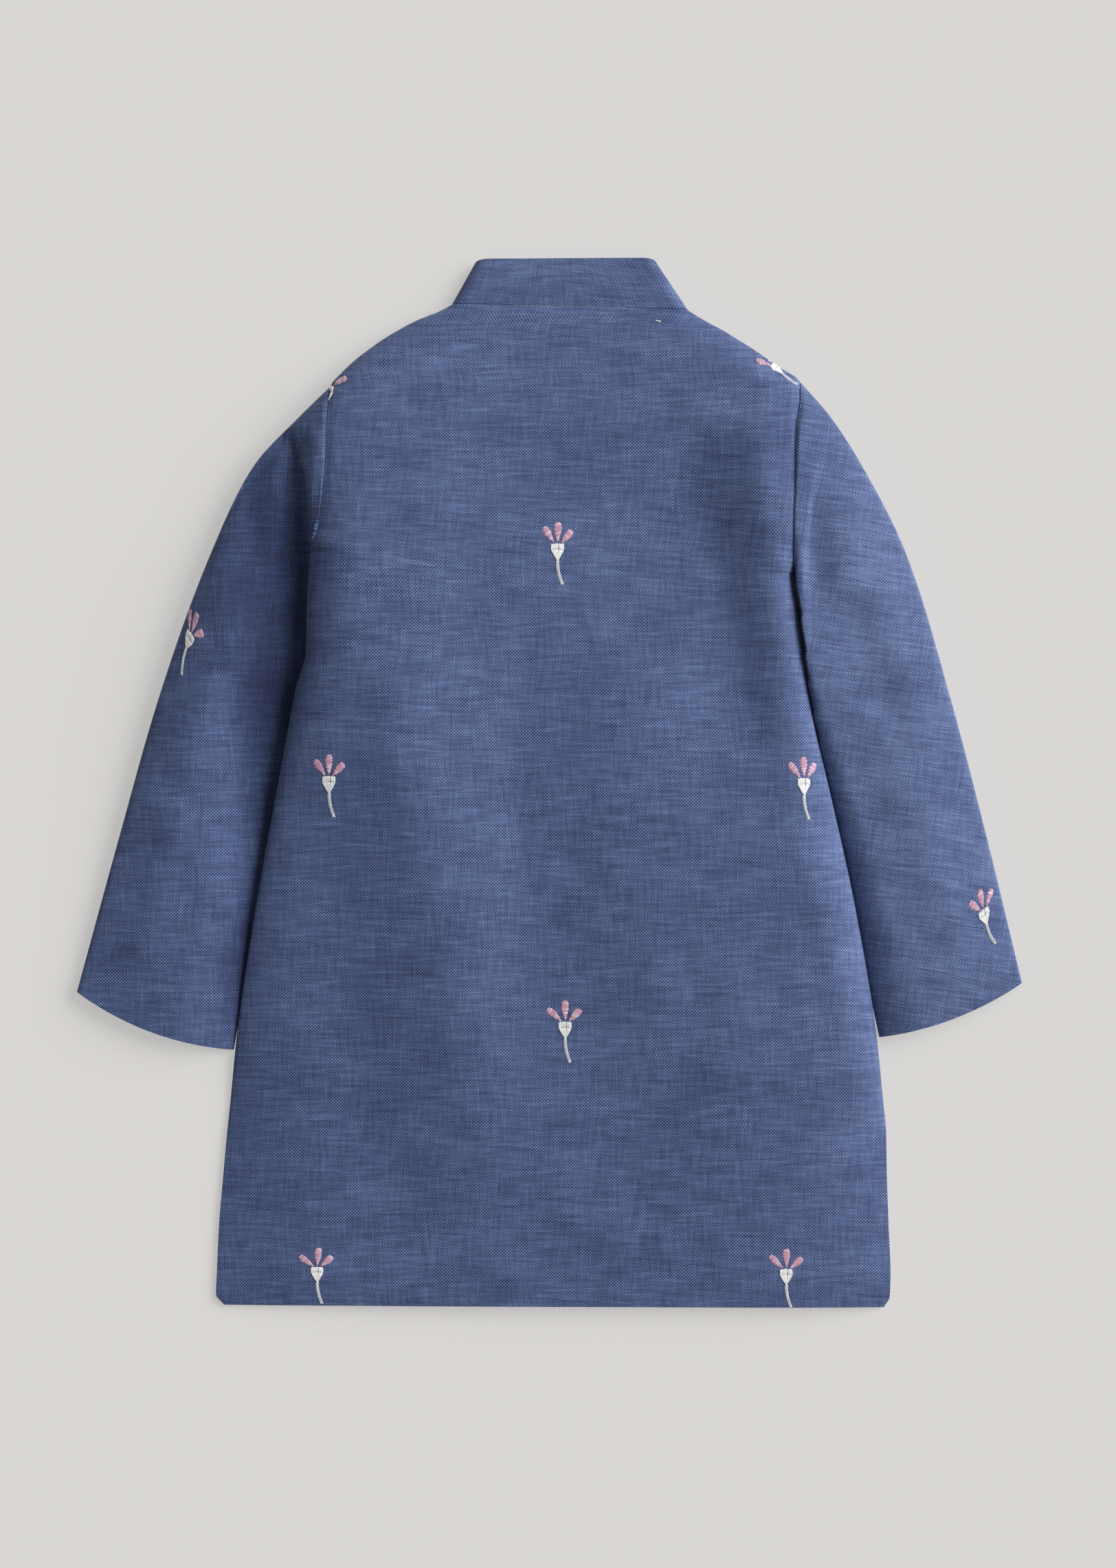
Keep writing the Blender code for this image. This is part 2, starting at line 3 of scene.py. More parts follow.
import bmesh
import bpy
import numpy as np
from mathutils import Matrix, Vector


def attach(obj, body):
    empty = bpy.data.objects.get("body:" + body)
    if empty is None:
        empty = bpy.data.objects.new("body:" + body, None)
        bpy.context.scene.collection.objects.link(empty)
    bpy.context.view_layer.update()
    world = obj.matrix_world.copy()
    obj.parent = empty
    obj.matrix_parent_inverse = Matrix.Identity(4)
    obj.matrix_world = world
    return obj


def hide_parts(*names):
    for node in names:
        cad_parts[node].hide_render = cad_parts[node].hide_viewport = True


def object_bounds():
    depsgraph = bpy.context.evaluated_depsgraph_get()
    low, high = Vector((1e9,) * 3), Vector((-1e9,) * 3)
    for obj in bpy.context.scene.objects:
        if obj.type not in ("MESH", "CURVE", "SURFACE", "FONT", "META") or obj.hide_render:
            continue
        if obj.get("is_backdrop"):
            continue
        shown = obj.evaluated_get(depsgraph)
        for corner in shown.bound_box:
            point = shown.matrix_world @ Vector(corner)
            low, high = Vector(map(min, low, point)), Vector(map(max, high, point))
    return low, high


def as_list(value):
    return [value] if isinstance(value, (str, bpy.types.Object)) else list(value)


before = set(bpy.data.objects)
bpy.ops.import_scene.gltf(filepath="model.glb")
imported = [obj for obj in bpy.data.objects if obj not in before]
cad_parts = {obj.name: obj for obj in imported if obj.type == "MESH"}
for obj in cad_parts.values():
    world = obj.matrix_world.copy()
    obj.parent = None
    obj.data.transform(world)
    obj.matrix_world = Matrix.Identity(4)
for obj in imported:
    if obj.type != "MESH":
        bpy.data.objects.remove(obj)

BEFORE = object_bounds()

MM = 0.001

# Camera: straight down over the kurta
CAMERA_X = 0.005
CAMERA_HEIGHT = 3.0
LENS = 118.3

# Floor and light
FLOOR_COLOUR = (0.80, 0.78, 0.76)
FLOOR_SHARE = 0.34  # of the floor's colour; the rest is its own faint glow, which keeps shadows pale
FLOOR_GLOW = 0.566
FLOOR_REACH = 6.0
SUN_STRENGTH = 4.26
SUN_ANGLE = 50.0
SUN_FROM = (0.93, 0.42, 0.53)
WORLD_STRENGTH = 0.235

# The weave, in millimetres of cloth. Every thread has its own streaks of light and dark.
WARP_PITCH = 0.92
WEFT_PITCH = 0.88
WANDER_SCALE = 0.02
WANDER_REACH = 2.6
CROSSING_SHARE = 0.26
BASE_LEVEL = 0.49
WARP_LIFT = 0.10
THREAD_STREAK = 0.045
WARP_SHARE = 0.50
WEFT_SHARE = 0.92
# Columns: features per millimetre across and along, detail, roughness, seed, share
CLOTH_NOISES = (
    ((0.035, 0.55), 2.0, 0.55, 1, 0.34),
    ((0.50, 0.04), 2.0, 0.55, 2, 0.16),
    ((0.016, 0.040), 2.0, 0.5, 4, 0.20),
)
CLOTH_RAMP = (
    (0.0, (0.014, 0.020, 0.058)),
    (0.35, (0.039, 0.058, 0.144)),
    (0.6, (0.082, 0.122, 0.260)),
    (1.0, (0.235, 0.305, 0.540)),
)
# Painted light and shade: broad soft lighter and darker patches on the cloth. Columns: x, y, width, height,
# amount
PAINTED_LIGHT_AND_SHADE = (
    (215, 10, 60, 190, 0.11),
    (-215, 0, 60, 200, -0.04),
    (0, -300, 260, 130, -0.04),
    (-168, -205, 46, 110, -0.05),
    (-90, 118, 36, 74, 0.055),
    (104, -132, 44, 34, 0.035),
    (120, 228, 40, 22, 0.03),
    (184, 130, 28, 70, 0.09),
    (12, 292, 60, 12, 0.04),
)
# Painted shadow in the hollow of the left sleeve beside the body, in the same columns
LEFT_HOLLOW_PAINTED_SHADE = (
    (-165, 160, 12, 34, -0.34),
    (-165, 104, 19, 44, -0.38),
    (-167, 48, 15, 30, -0.36),
    (-172, -20, 9, 50, -0.16),
    (-184, -112, 9, 36, -0.24),
    (-147, 146, 5, 26, -0.22),
    (-146, 98, 6, 38, -0.30),
    (-152, 44, 6, 30, -0.26),
    (-163, -30, 5, 40, -0.20),
    (-176, -100, 5, 40, -0.24),
)
FLECK_SCALE = (0.5, 1.1)
FLECK_LEVEL = 0.70
FLECK_COLOUR = (0.19, 0.07, 0.12)
CLOTH_BUMP = (0.6, 0.00016)  # strength, and depth in metres
SPECKLE_DEPTH = 0.0001
# Columns: scale, detail, dark end, light end, dark share, bump's strength, sheen
PLASTIC = (420.0, 3.0, 0.35, 0.70, 0.75, 0.12, 0.0)
THREAD = (2200.0, 2.0, 0.30, 0.62, 0.74, 0.40, 0.25)
PLASTIC_ROUGH = 0.34
EMBROIDERY_ROUGH = 0.42
SEWING_ROUGH = 0.5

# Cloth and seams, in millimetres as every table below
CLOTH = 1.1
COLLAR_CLOTH = 1.5
SEAM_GAP = 0.3

# Body sections from the hem up, each from the left outline to the right one
BODY_COLUMNS = ("y", "left", "right", "tilt", "height", "seam", "round")
BODY = (
    (-303.6, -189.0, 194.6, -1.4, 8.6, 1.35, 70),
    (-297.5, -194.0, 198.0, -1.0, 8.8, 1.35, 70),
    (-285.0, -193.5, 198.4, 0.0, 9.3, 1.35, 70),
    (-257.0, -192.2, 197.3, 0.0, 10.6, 1.35, 66),
    (-224.0, -189.4, 196.2, 0.0, 12.6, 1.35, 58),
    (-201.0, -187.3, 195.8, 0.0, 14.3, 1.35, 48),
    (-187.0, -185.8, 194.4, 0.0, 15.4, 1.9, 40),
    (-147.0, -181.8, 190.2, 0.0, 19.0, 4.4, 34),
    (-72.0, -170.6, 177.6, 0.0, 24.0, 9.0, 32),
    (-4.0, -158.2, 162.6, 0.0, 27.0, 11.4, 30),
    (30.0, -151.8, 154.6, 0.0, 27.8, 12.0, 30),
    (58.0, -146.4, 149.4, 0.0, 28.0, 12.0, 30),
    (76.0, -141.2, 147.2, 0.0, 28.0, 12.0, 30),
    (102.0, -140.6, 144.2, -4.0, 28.0, 12.0, 30),
    (129.0, -138.4, 141.2, -14.0, 28.0, 12.0, 28),
    (152.0, -132.6, 141.4, -10.0, 27.6, 12.0, 26),
    (180.0, -129.5, 141.6, -5.0, 27.0, 12.0, 26),
    (206.0, -128.5, 142.4, -1.0, 25.4, 12.0, 26),
    (222.0, -127.8, 145.0, 1.6, 23.4, 12.0, 26),
    (231.5, -127.2, 145.2, 3.0, 22.0, 12.0, 26),
    (240.0, -120.1, 134.6, 2.0, 20.0, 10.6, 28),
    (250.0, -107.8, 121.8, 0.0, 17.6, 9.2, 30),
    (262.0, -90.4, 103.2, 0.0, 14.6, 7.6, 30),
    (269.0, -75.6, 92.4, -2.0, 12.8, 6.6, 26),
    (274.0, -62.0, 84.4, -2.6, 11.4, 5.8, 16),
    (277.2, -56.4, 80.2, -3.2, 10.2, 5.2, 8),
)
SLIT_TOP = -201.0
SLIT_BLEND = 14.0
ARMPIT = 129.0
SHOULDER = 231.5
FRONT_CURL = 1.75
SEAM_DIP = 0.9  # how far the cloth turns in at a seam
RIGHT_SEAM_DIP = 1.9
SEAM_DIP_WIDTH = 2.6
FRONT_LIFT = 0.35  # room under the cloth for the embroidery

# Soft folds along lines. A negative depth is a ridge.
# Columns: x0, y0, x1, y1, depth, width
BACK_FOLDS = (
    (2, 175, 2, -150, 3.0, 55),
    (92, 190, 100, 60, 0.8, 20),
    (-62, 205, -78, 60, -1.2, 16),
    (-136, -20, -90, -236, 1.2, 20),
    (40, -40, 96, -180, -1.0, 22),
)

# How evenly the back falls towards its left edge. Columns: y, width of the fall, share of the form
LEFT_FALL = (
    (-303.6, 150, 0.85), (-200.0, 150, 0.85), (-120.0, 140, 0.75), (-40.0, 120, 0.45),
    (40.0, 100, 0.12), (120.0, 90, 0.0), (277.2, 90, 0.0),
)

# Smaller soft folds of the back, each along a bent line. A negative depth is a ridge.
# Columns: depth, width on the line's left, width on its right, the line's points
BACK_CREASES = (
    (8.2, 28, 60, ((38, 228), (58, 204), (75, 174), (87, 142), (96, 108), (107, 68), (117, 10), (122, -34))),
    (-2.4, 13, 13, ((118, 226), (129, 190), (132, 152), (138, 112), (142, 60))),
    (3.2, 30, 56, ((-156, 40), (-142, -60), (-124, -160), (-104, -262))),
    (-3.0, 26, 24, ((-108, 140), (-88, 24), (-62, -90), (-28, -262))),
    (1.0, 11, 11, ((-6, 118), (-22, 20), (-12, -90))),
    (-0.9, 16, 16, ((104, -96), (112, -132), (106, -164))),
    (0.9, 12, 12, ((66, -60), (84, -130), (70, -200))),
    (2.4, 4.0, 11, ((143, 234), (139, 206), (137, 176), (136, 150))),
    (1.1, 2.4, 5.0, ((126, 163), (134, 159), (142, 158))),
    (0.5, 5, 5, ((-104, 216), (-60, 226), (-18, 222))),
    (-0.5, 5, 5, ((-98, 208), (-52, 215), (-10, 214))),
    (0.4, 5, 5, ((-112, 196), (-70, 204), (-36, 205))),
    (-0.7, 9, 9, ((150, -40), (168, -110), (176, -170))),
    (0.7, 8, 8, ((140, -52), (157, -118), (168, -190))),
    (-0.6, 9, 9, ((-150, -70), (-166, -140), (-172, -200))),
    (0.8, 10, 10, ((20, 250), (40, 236), (78, 232))),
    (0.5, 9, 9, ((-60, 262), (-20, 256), (20, 260))),
    (-0.5, 10, 10, ((-30, -190), (10, -236), (14, -280))),
    (0.5, 9, 9, ((40, -200), (52, -246), (60, -290))),
    (0.45, 8, 8, ((-96, -226), (-108, -262), (-112, -296))),
)

# Sleeve outlines from the armhole to the cuff. Columns: x, y
LEFT_OUTER = (
    (-127.5, 230.0), (-146.4, 211.6), (-171.4, 184.6), (-196.2, 134.4),
    (-226.6, 50.4), (-250.6, -33.6), (-274.6, -120.8),
)
LEFT_INNER = (
    (-138.7, 136.0), (-138.8, 128.0), (-137.2, 116.0), (-137.6, 84.0), (-142.0, 56.0),
    (-155.4, -4.0), (-168.8, -72.0), (-183.6, -154.6),
)
RIGHT_OUTER = (
    (145.5, 233.0), (162.6, 213.4), (181.4, 184.4), (206.6, 134.4),
    (232.6, 50.4), (254.6, -33.6), (274.6, -115.6),
)
RIGHT_INNER = (
    (140.9, 122.0), (140.8, 116.0), (140.3, 104.0), (142.0, 82.0), (145.0, 56.0),
    (159.6, -4.0), (175.4, -72.0), (191.8, -147.2),
)
# Sections along a sleeve: along is 0 at the armhole and 1 at the cuff
SLEEVE_COLUMNS = ("along", "outer_mid", "inner_mid", "height", "gentle")
SLEEVE = (
    (0.00, 12.0, 12.0, 25.2, 0.0),
    (0.01, 12.0, 10.2, 25.2, 0.05),
    (0.022, 11.9, 7.6, 25.1, 0.13),
    (0.05, 11.8, 4.6, 25.0, 0.3),
    (0.12, 11.4, 3.0, 24.6, 0.75),
    (0.22, 10.8, 2.4, 23.6, 1.0),
    (0.50, 9.4, 2.1, 20.6, 1.0),
    (0.80, 7.0, 2.1, 15.6, 1.0),
    (1.00, 5.2, 2.4, 11.0, 1.0),
)
INNER_FOLD = 1.6
SLEEVE_REST = (0.1, 0.2)  # the least height of a sleeve's outside and inside above the floor
# A sleeve's inner edge lies under the body's side and stays clear of it
UNDER_CLEAR = 0.9
UNDER_STEPS = (1.6, 6.0)  # how far above that limit each sleeve may be right beside the body's edge
UNDER_SLOPES = (1.2, 1.5)  # how steeply each sleeve may rise from there
UNDER_FREE = 16.0  # how much higher it may rise just below the armhole
UNDER_FADE = 90.0  # over what length that fades
UNDER_SOFT = 1.2
# Where each sleeve is highest at its head and its cuff: 0 is its outer edge and 1 its inner one
CROWN_PLACES = ((0.30, 0.62), (0.90, 0.72))
CROWN_POWER = 2.2
ARCH_POWER = 3.0
SEAM_BOW_FADE = 0.3
LEFT_CUFF_BOW = 6.6
RIGHT_CUFF_BOW = 5.0
LEFT_FOLDS = (
    (-146, 196, -149, 128, 7.0, 7),
    (-182, 60, -214, -60, 1.6, 13),
    (-206, -20, -236, -96, -1.2, 12),
)
RIGHT_FOLDS = (
    (152, 150, 153, 112, 1.6, 8),
    (176, 96, 206, 20, 1.6, 12),
    (206, -10, 236, -84, -1.2, 12),
)

# How much lower each sleeve lies beside the body. Columns: along, share
LEFT_LOW = (
    (0.0, 0.0), (0.08, 0.1), (0.16, 0.45), (0.32, 0.62), (0.46, 0.45), (0.62, 0.2), (0.8, 0.05), (1.0, 0.0),
)
RIGHT_LOW = ((0.0, 0.0), (0.14, 0.05), (0.28, 0.18), (0.5, 0.26), (0.75, 0.14), (1.0, 0.0))
LOW_STARTS = (0.30, 0.2)  # share across the sleeve from which it is lowered, left and right
# The cloth beside each armhole seam steps down along a line. Columns: x, y, depth
LEFT_CLIFF = (
    (-151.0, 207.0, 0.0), (-148.0, 200.4, 3.5), (-143.4, 187.6, 8.0), (-140.2, 175.2, 11.0),
    (-138.6, 150.8, 12.5), (-138.2, 134.4, 12.0), (-139.0, 110.0, 5.0), (-141.0, 70.0, 0.0),
)
RIGHT_CLIFF = (
    (168.0, 224.0, 0.0), (160.0, 205.0, 0.5), (156.0, 185.0, 1.0), (151.0, 160.0, 2.2),
    (148.0, 135.0, 3.6), (149.0, 110.0, 1.8), (150.0, 80.0, 0.0),
)
CLIFF_WIDTHS = (52, 24)
INNER_POWERS = ((2.4, 1.2), (0.4, 0.85))
# Smaller folds of the sleeves. Columns: depth, left width, right width, the line's points
LEFT_CREASES = (
    (1.6, 9, 9, ((-150, 222), (-139, 229), (-128, 240))),
    (1.2, 8, 8, ((-176, 168), (-160, 120), (-158, 70))),
    (-0.8, 8, 8, ((-196, 110), (-176, 60), (-170, 10))),
    (0.8, 7, 7, ((-232, 20), (-204, -16), (-184, -30))),
    (-0.7, 8, 8, ((-236, -6), (-206, -42), (-190, -60))),
    (0.7, 8, 8, ((-250, -60), (-224, -84), (-196, -92))),
    (-0.5, 7, 7, ((-250, -84), (-226, -108), (-200, -120))),
    (0.5, 6, 6, ((-206, 96), (-190, 84), (-174, 82))),
    (0.6, 5, 5, ((-172, 178), (-160, 160), (-156, 140))),
)
RIGHT_CREASES = (
    (0.9, 3.0, 3.0, ((151, 120), (157, 122), (166, 126))),
    (0.5, 9, 9, ((178, 200), (184, 176), (196, 160))),
    (-0.6, 9, 9, ((160, 128), (180, 112), (206, 108))),
    (0.9, 8, 8, ((160, 76), (184, 54), (214, 48))),
    (-0.7, 8, 8, ((166, 50), (190, 30), (222, 22))),
    (0.7, 7, 7, ((170, 4), (196, -20), (226, -26))),
    (-0.6, 8, 8, ((182, -30), (206, -52), (236, -56))),
    (0.5, 7, 7, ((190, -66), (216, -86), (246, -88))),
    (0.5, 6, 6, ((196, 140), (208, 116), (214, 90))),
)

# Each sheet's finished cut, in metres. Columns: key, width, length, area, what it lies on
SHEETS = (
    ("back", 0.405, 0.590, 0.193, "cloth_front"),
    ("front", 0.400, 0.585, 0.183, "floor"),
    ("left", 0.205, 0.395, 0.058, "floor"),
    ("right", 0.205, 0.395, 0.058, "floor"),
    ("collar", 0.300, 0.029, None, "floor"),
    ("outer", 0.0236, 0.130, None, "floor"),
    ("inner", 0.0196, 0.126, None, "cloth_placket_outer"),
)

# Buttons and sewing
BUTTON_COUNT = 3
BUTTON_PITCH = 40.0
BUTTON_FIRST = 24.0
BUTTON_SIDES = 48
# Columns: radius, height above the side that faces the floor
BUTTON_PROFILE = (
    (2.6, 0.42), (3.1, 0.40), (3.4, 0.16), (3.7, 0.04), (4.2, 0.0), (4.55, 0.12), (4.75, 0.45),
    (4.75, 1.1), (4.55, 1.45), (4.1, 1.6), (2.0, 1.6),
)
BUTTON_COLOUR = (0.05, 0.07, 0.15)
SEWING_COLOUR = (0.10, 0.14, 0.29)
SEWING_FLAT = 0.5  # share of a stitch's height that machine sewing and a button's thread have
BUTTON_THREAD_FLAT = 0.6
TOPSTITCH_PITCH = 3.2
BUTTONHOLE_PITCH = 0.55
BUTTONHOLE_LENGTH = 12.0
MARK_PLACE = (63.0, 268.4)  # a short white stitch under the collar

# Neck and collar
CENTRE = 12.0
NECK_LOW = 226.0
NECK_LEFT = (-56.4, 278.8)
NECK_RIGHT = (80.2, 275.6)
NECK_TIP = 3.0
NECK_START = (0.5, -0.86)
NECK_REACH = 34.0
NECK_FLOOR_REACH = 40.0
COLLAR_TOP_LEFT = (-43.2, 305.0)
COLLAR_TOP_RIGHT = (62.0, 305.6)
COLLAR_WIDTH = 29.0
COLLAR_SEAM_HEIGHT = 10.2
COLLAR_TOP_HEIGHT = 8.4
COLLAR_ROUND = 8.0
COLLAR_CORNER = 2.6
FOLD_SHARE = 0.14
COLLAR_END_GAP = 0.5

# Placket
PLACKET_WIDTH = 24.0
PLACKET_LENGTH = 130.0
PLACKET_LIFT = 2.4
PLACKET_EDGE = 5.0
PLACKET_INSET = 2.0
PLACKET_CLOTH = 1.2
PLACKET_STEP = 0.8  # room between the two strips
PLACKET_GRID = (25, 90)
FLOOR_CLEAR = 0.35

# Embroidery, in millimetres and degrees.
# Columns: x, y, turn, height share, left petal's lean, right petal's lean
BODY_FLOWERS = (
    (4.6, 133.6, 0, 1.0, 31, 41),
    (9.0, -143.0, 0, 1.0, 48, 44),
    (-127.4, -0.8, 0, 1.0, 34, 42),
    (147.0, -2.0, 0, 1.0, 38, 30),
    (-135.0, -285.4, 0, 0.9, 52, 46),
    (137.4, -286.6, 0, 0.95, 44, 48),
    (-128.4, 226.0, -23, 1.0, 36, 40),
    (132.4, 240.2, 45, 0.9, 38, 36),
)
# Columns: x, y, left petal's lean, right petal's lean
FRONT_FLOWERS = (
    (-131.0, -2.0, 36, 42), (142.0, -2.0, 40, 34), (8.0, -143.0, 44, 40),
    (-131.0, -280.0, 38, 46), (142.0, -280.0, 46, 38),
)
UNDER_FLOWER_PLACE = 250.0  # along the sleeve, on its underside
UNDER_FLOWER_OFF = -34.0  # from the sleeve's outer edge, negative under it
FLAT_STITCH = 0.45  # share of a stitch's height where the cloth lies on the floor
SLEEVE_LENGTH = 395.0
SLEEVE_GRAINS = (0.0, -8.0)  # the wefts' turn in plan, left and right, in degrees
# Columns: which sleeve, side, place along it, distance from its outer edge, seed
SLEEVE_FLOWERS = (("left", -1, 172.0, 10.5, 40), ("right", 1, 345.0, 15.0, 41))
# Petals, left, right and middle. Columns: base, length, width
PETALS = (((-2.1, 5.6), 10.8, 4.3), ((2.2, 5.6), 9.6, 4.5), ((0.1, 6.2), 11.4, 4.6))
PETAL_PITCH = 0.58
PETAL_LIGHT = 0.24  # share of a petal's stitches in the lighter pink
STEM_TOP = -5.0
STEM_LENGTH = 13.0
STEM_BEND = 2.8
STEM_PITCH = 0.85
STEM_SLANT = 0.95
PATCH_HALF = 26  # reach of the flat patch that a flower is sewn on, up and down
PATCH_SIDE = 34
PATCH_FINE = 341
EDGE_MARGIN = 0.8
PATCH_TOP = 60  # reach from a sleeve's outer edge over its top, and under it
PATCH_UNDER = 40
STITCH_STEPS = 6
STITCH_SIDES = 4
STITCH_SINK = -0.05
# Linear colours: pink and its lights, cream and its lights
THREAD_COLOURS = ((0.68, 0.37, 0.49), (0.88, 0.66, 0.76), (0.86, 0.86, 0.83), (0.95, 0.95, 0.94))

# Fineness of the grids
BACK_STEP = 2.6
BACK_EDGE = 14
BACK_MIDDLE = 110
FRONT_STEP = 4.5
FRONT_EDGE = 7
FRONT_MIDDLE = 60
SLEEVE_RINGS = 150
SLEEVE_HALF = 54
SLEEVE_CLOSE = 0.15  # rings are closer together up to this share of the sleeve
SLEEVE_STEP = 0.003
COLLAR_ACROSS = 16


# Curves and tables

def slopes(keys, values):
    step = np.diff(keys)
    rise = np.diff(values) / step
    inner = np.zeros(len(keys))
    for i in range(1, len(keys) - 1):
        if rise[i - 1] * rise[i] > 0:
            near = 2 * step[i] + step[i - 1]
            far = step[i] + 2 * step[i - 1]
            inner[i] = (near + far) / (near / rise[i - 1] + far / rise[i])
    inner[0] = rise[0]
    inner[-1] = rise[-1]
    return inner


def smooth_at(keys, values, where):
    """A smooth curve through (keys, values) that never overshoots them, read at where."""
    keys = np.asarray(keys, float)
    values = np.asarray(values, float)
    where = np.clip(where, keys[0], keys[-1])
    slope = slopes(keys, values)
    i = np.clip(np.searchsorted(keys, where, side="right") - 1, 0, len(keys) - 2)
    step = keys[i + 1] - keys[i]
    t = (where - keys[i]) / step
    start = (1 + 2 * t) * (1 - t) ** 2 * values[i] + t * (1 - t) ** 2 * step * slope[i]
    end = t * t * (3 - 2 * t) * values[i + 1] + t * t * (t - 1) * step * slope[i + 1]
    return start + end


def column_at(table, k, where):
    """Column k of a table whose first column is the place."""
    return smooth_at([row[0] for row in table], [row[k] for row in table], where)


def columns_at(table, columns, where):
    return {name: column_at(table, k, where) for k, name in enumerate(columns)}


def lengths_along(line):
    """Lengths from the first of a row of points to each of them."""
    return np.concatenate([[0], np.cumsum(np.linalg.norm(np.diff(line, axis=0), axis=1))])


def along_path(points, share):
    points = np.asarray(points, float)
    reach = lengths_along(points)
    reach /= reach[-1]
    return np.stack([smooth_at(reach, points[:, k], share) for k in range(2)], axis=-1)


def smooth_step(value):
    value = np.clip(value, 0.0, 1.0)
    return value * value * (3 - 2 * value)


def fold_drop(folds, x, y):
    """How far the folds lower the cloth at x, y, or raise it where negative."""
    drop = np.zeros(np.broadcast(x, y).shape)
    for x0, y0, x1, y1, depth, width in folds:
        run = np.array([x1 - x0, y1 - y0], float)
        share = np.clip(((x - x0) * run[0] + (y - y0) * run[1]) / (run @ run), 0, 1)
        away = np.hypot(x - x0 - run[0] * share, y - y0 - run[1] * share)
        drop = drop + depth * np.exp(-((away / width) ** 2))
    return drop


def crease_drop(creases, x, y):
    """How far creases along bent lines lower the cloth at x, y. Each fades out at its ends."""
    drop = np.zeros(np.broadcast(x, y).shape)
    for depth, left_width, right_width, line in creases:
        ends = np.asarray(line, float)
        lengths = np.linalg.norm(np.diff(ends, axis=0), axis=1)
        whole = lengths.sum()
        best = np.full(drop.shape, 1e9)
        place = np.zeros(drop.shape)
        on_left = np.zeros(drop.shape, bool)
        done = 0.0
        for start, end, length in zip(ends[:-1], ends[1:], lengths):
            run = end - start
            share = np.clip(((x - start[0]) * run[0] + (y - start[1]) * run[1]) / length ** 2, 0, 1)
            away_x = x - start[0] - run[0] * share
            away_y = y - start[1] - run[1] * share
            away = np.hypot(away_x, away_y)
            nearer = away < best
            best = np.where(nearer, away, best)
            on_left = np.where(nearer, run[0] * away_y - run[1] * away_x > 0, on_left)
            place = np.where(nearer, (done + share * length) / whole, place)
            done += length
        fade = smooth_step(np.minimum(place, 1 - place) / 0.3)
        width = np.where(on_left, left_width, right_width)
        drop = drop + depth * fade * np.exp(-((best / width) ** 2))
    return drop


def arch(share):
    return np.sqrt(np.maximum(0.0, 1 - np.abs(2 * share - 1) ** ARCH_POWER))


def floor_arch(share):
    return np.maximum(0.0, 1 - 1.06 * np.sqrt(arch(share)))


def rounding(share, power):
    share = np.clip(share, 0.0, 1.0)
    return (1 - (1 - share) ** 2) ** (1 / power)


# The body's form

def body_at(y):
    return columns_at(BODY, BODY_COLUMNS, y)


def armhole_share(y):
    return (SHOULDER - y) / (SHOULDER - ARMPIT)


def slit_share(y):
    return np.clip((SLIT_TOP + SLIT_BLEND - y) / SLIT_BLEND, 0.0, 1.0)


def edge_heights(row):
    """Heights of the back's and the front's edge at the body's sections."""
    share = armhole_share(row["y"])
    inside = (share > 0) & (share < 1)
    safe = np.clip(share, 0, 1)
    top = SLEEVE[0][SLEEVE_COLUMNS.index("height")]
    open_back = row["seam"] + (top - row["seam"]) * arch(safe)
    open_front = (row["seam"] - SEAM_GAP / 2) * floor_arch(safe)
    lap = SEAM_GAP / 2 + CLOTH * slit_share(row["y"])
    back = np.where(inside, open_back, row["seam"] + lap)
    front = np.where(inside, open_front, np.maximum(0.0, row["seam"] - lap))
    return back, front


def rounding_power(row):
    share = armhole_share(row["y"])
    inside = (share > 0) & (share < 1)
    steep = 1 + np.maximum(0.0, 1 - np.minimum(share, 1 - share) / 0.12)
    return np.where(inside, steep, 2 - slit_share(row["y"]))


def across(row, wide, edge, middle):
    """Places along each row: close together where the edges round, evenly spaced between."""
    turn = 1 - np.cos(math.pi / 2 * np.arange(edge + 1) / edge)
    left = row["left"][:, None] + wide[:, None] * turn
    right = row["right"][:, None] - wide[:, None] * turn[::-1]
    share = np.linspace(0, 1, middle + 1)[1:-1]
    inside = left[:, -1:] + (right[:, :1] - left[:, -1:]) * share
    return np.concatenate([left, inside, right], axis=1)


def tilted(row, x):
    share = (x - row["left"]) / (row["right"] - row["left"])
    return row["y"] + row["tilt"] * (share - 0.5)


def back_surface(y, x):
    """Points of the back's outer face; y is the section and x the place across it."""
    row = body_at(y)
    edge = edge_heights(row)[0]
    near = np.minimum(x - row["left"], row["right"] - x)
    rise = rounding(near / row["round"], rounding_power(row))
    far = column_at(LEFT_FALL, 1, row["y"])
    share = column_at(LEFT_FALL, 2, row["y"])
    even = np.clip((x - row["left"]) / far, 0, 1) ** 0.75
    rise = np.where(x - row["left"] < far, rise * (1 - share) + np.minimum(rise, even) * share, rise)
    deep = tilted(row, x)
    top = row["height"] - fold_drop(BACK_FOLDS, x, deep) - crease_drop(BACK_CREASES, x, deep)
    seam = smooth_step((deep - ARMPIT) / 6) * smooth_step((SHOULDER + 1 - deep) / 4)
    deepest = np.where(x > 0, seam_dip(1, deep), seam_dip(-1, deep))
    seam = deepest * seam * np.exp(-((near / SEAM_DIP_WIDTH) ** 2))
    return np.stack([x, deep, edge + (top - edge) * rise - seam], axis=-1)


def front_surface(y, x):
    row = body_at(y)
    edge = edge_heights(row)[1]
    near = np.minimum(x - row["left"], row["right"] - x)
    rise = rounding(near / (FRONT_CURL * row["seam"]), rounding_power(row))
    return np.stack([x, tilted(row, x), np.maximum(edge * (1 - rise), FRONT_LIFT)], axis=-1)


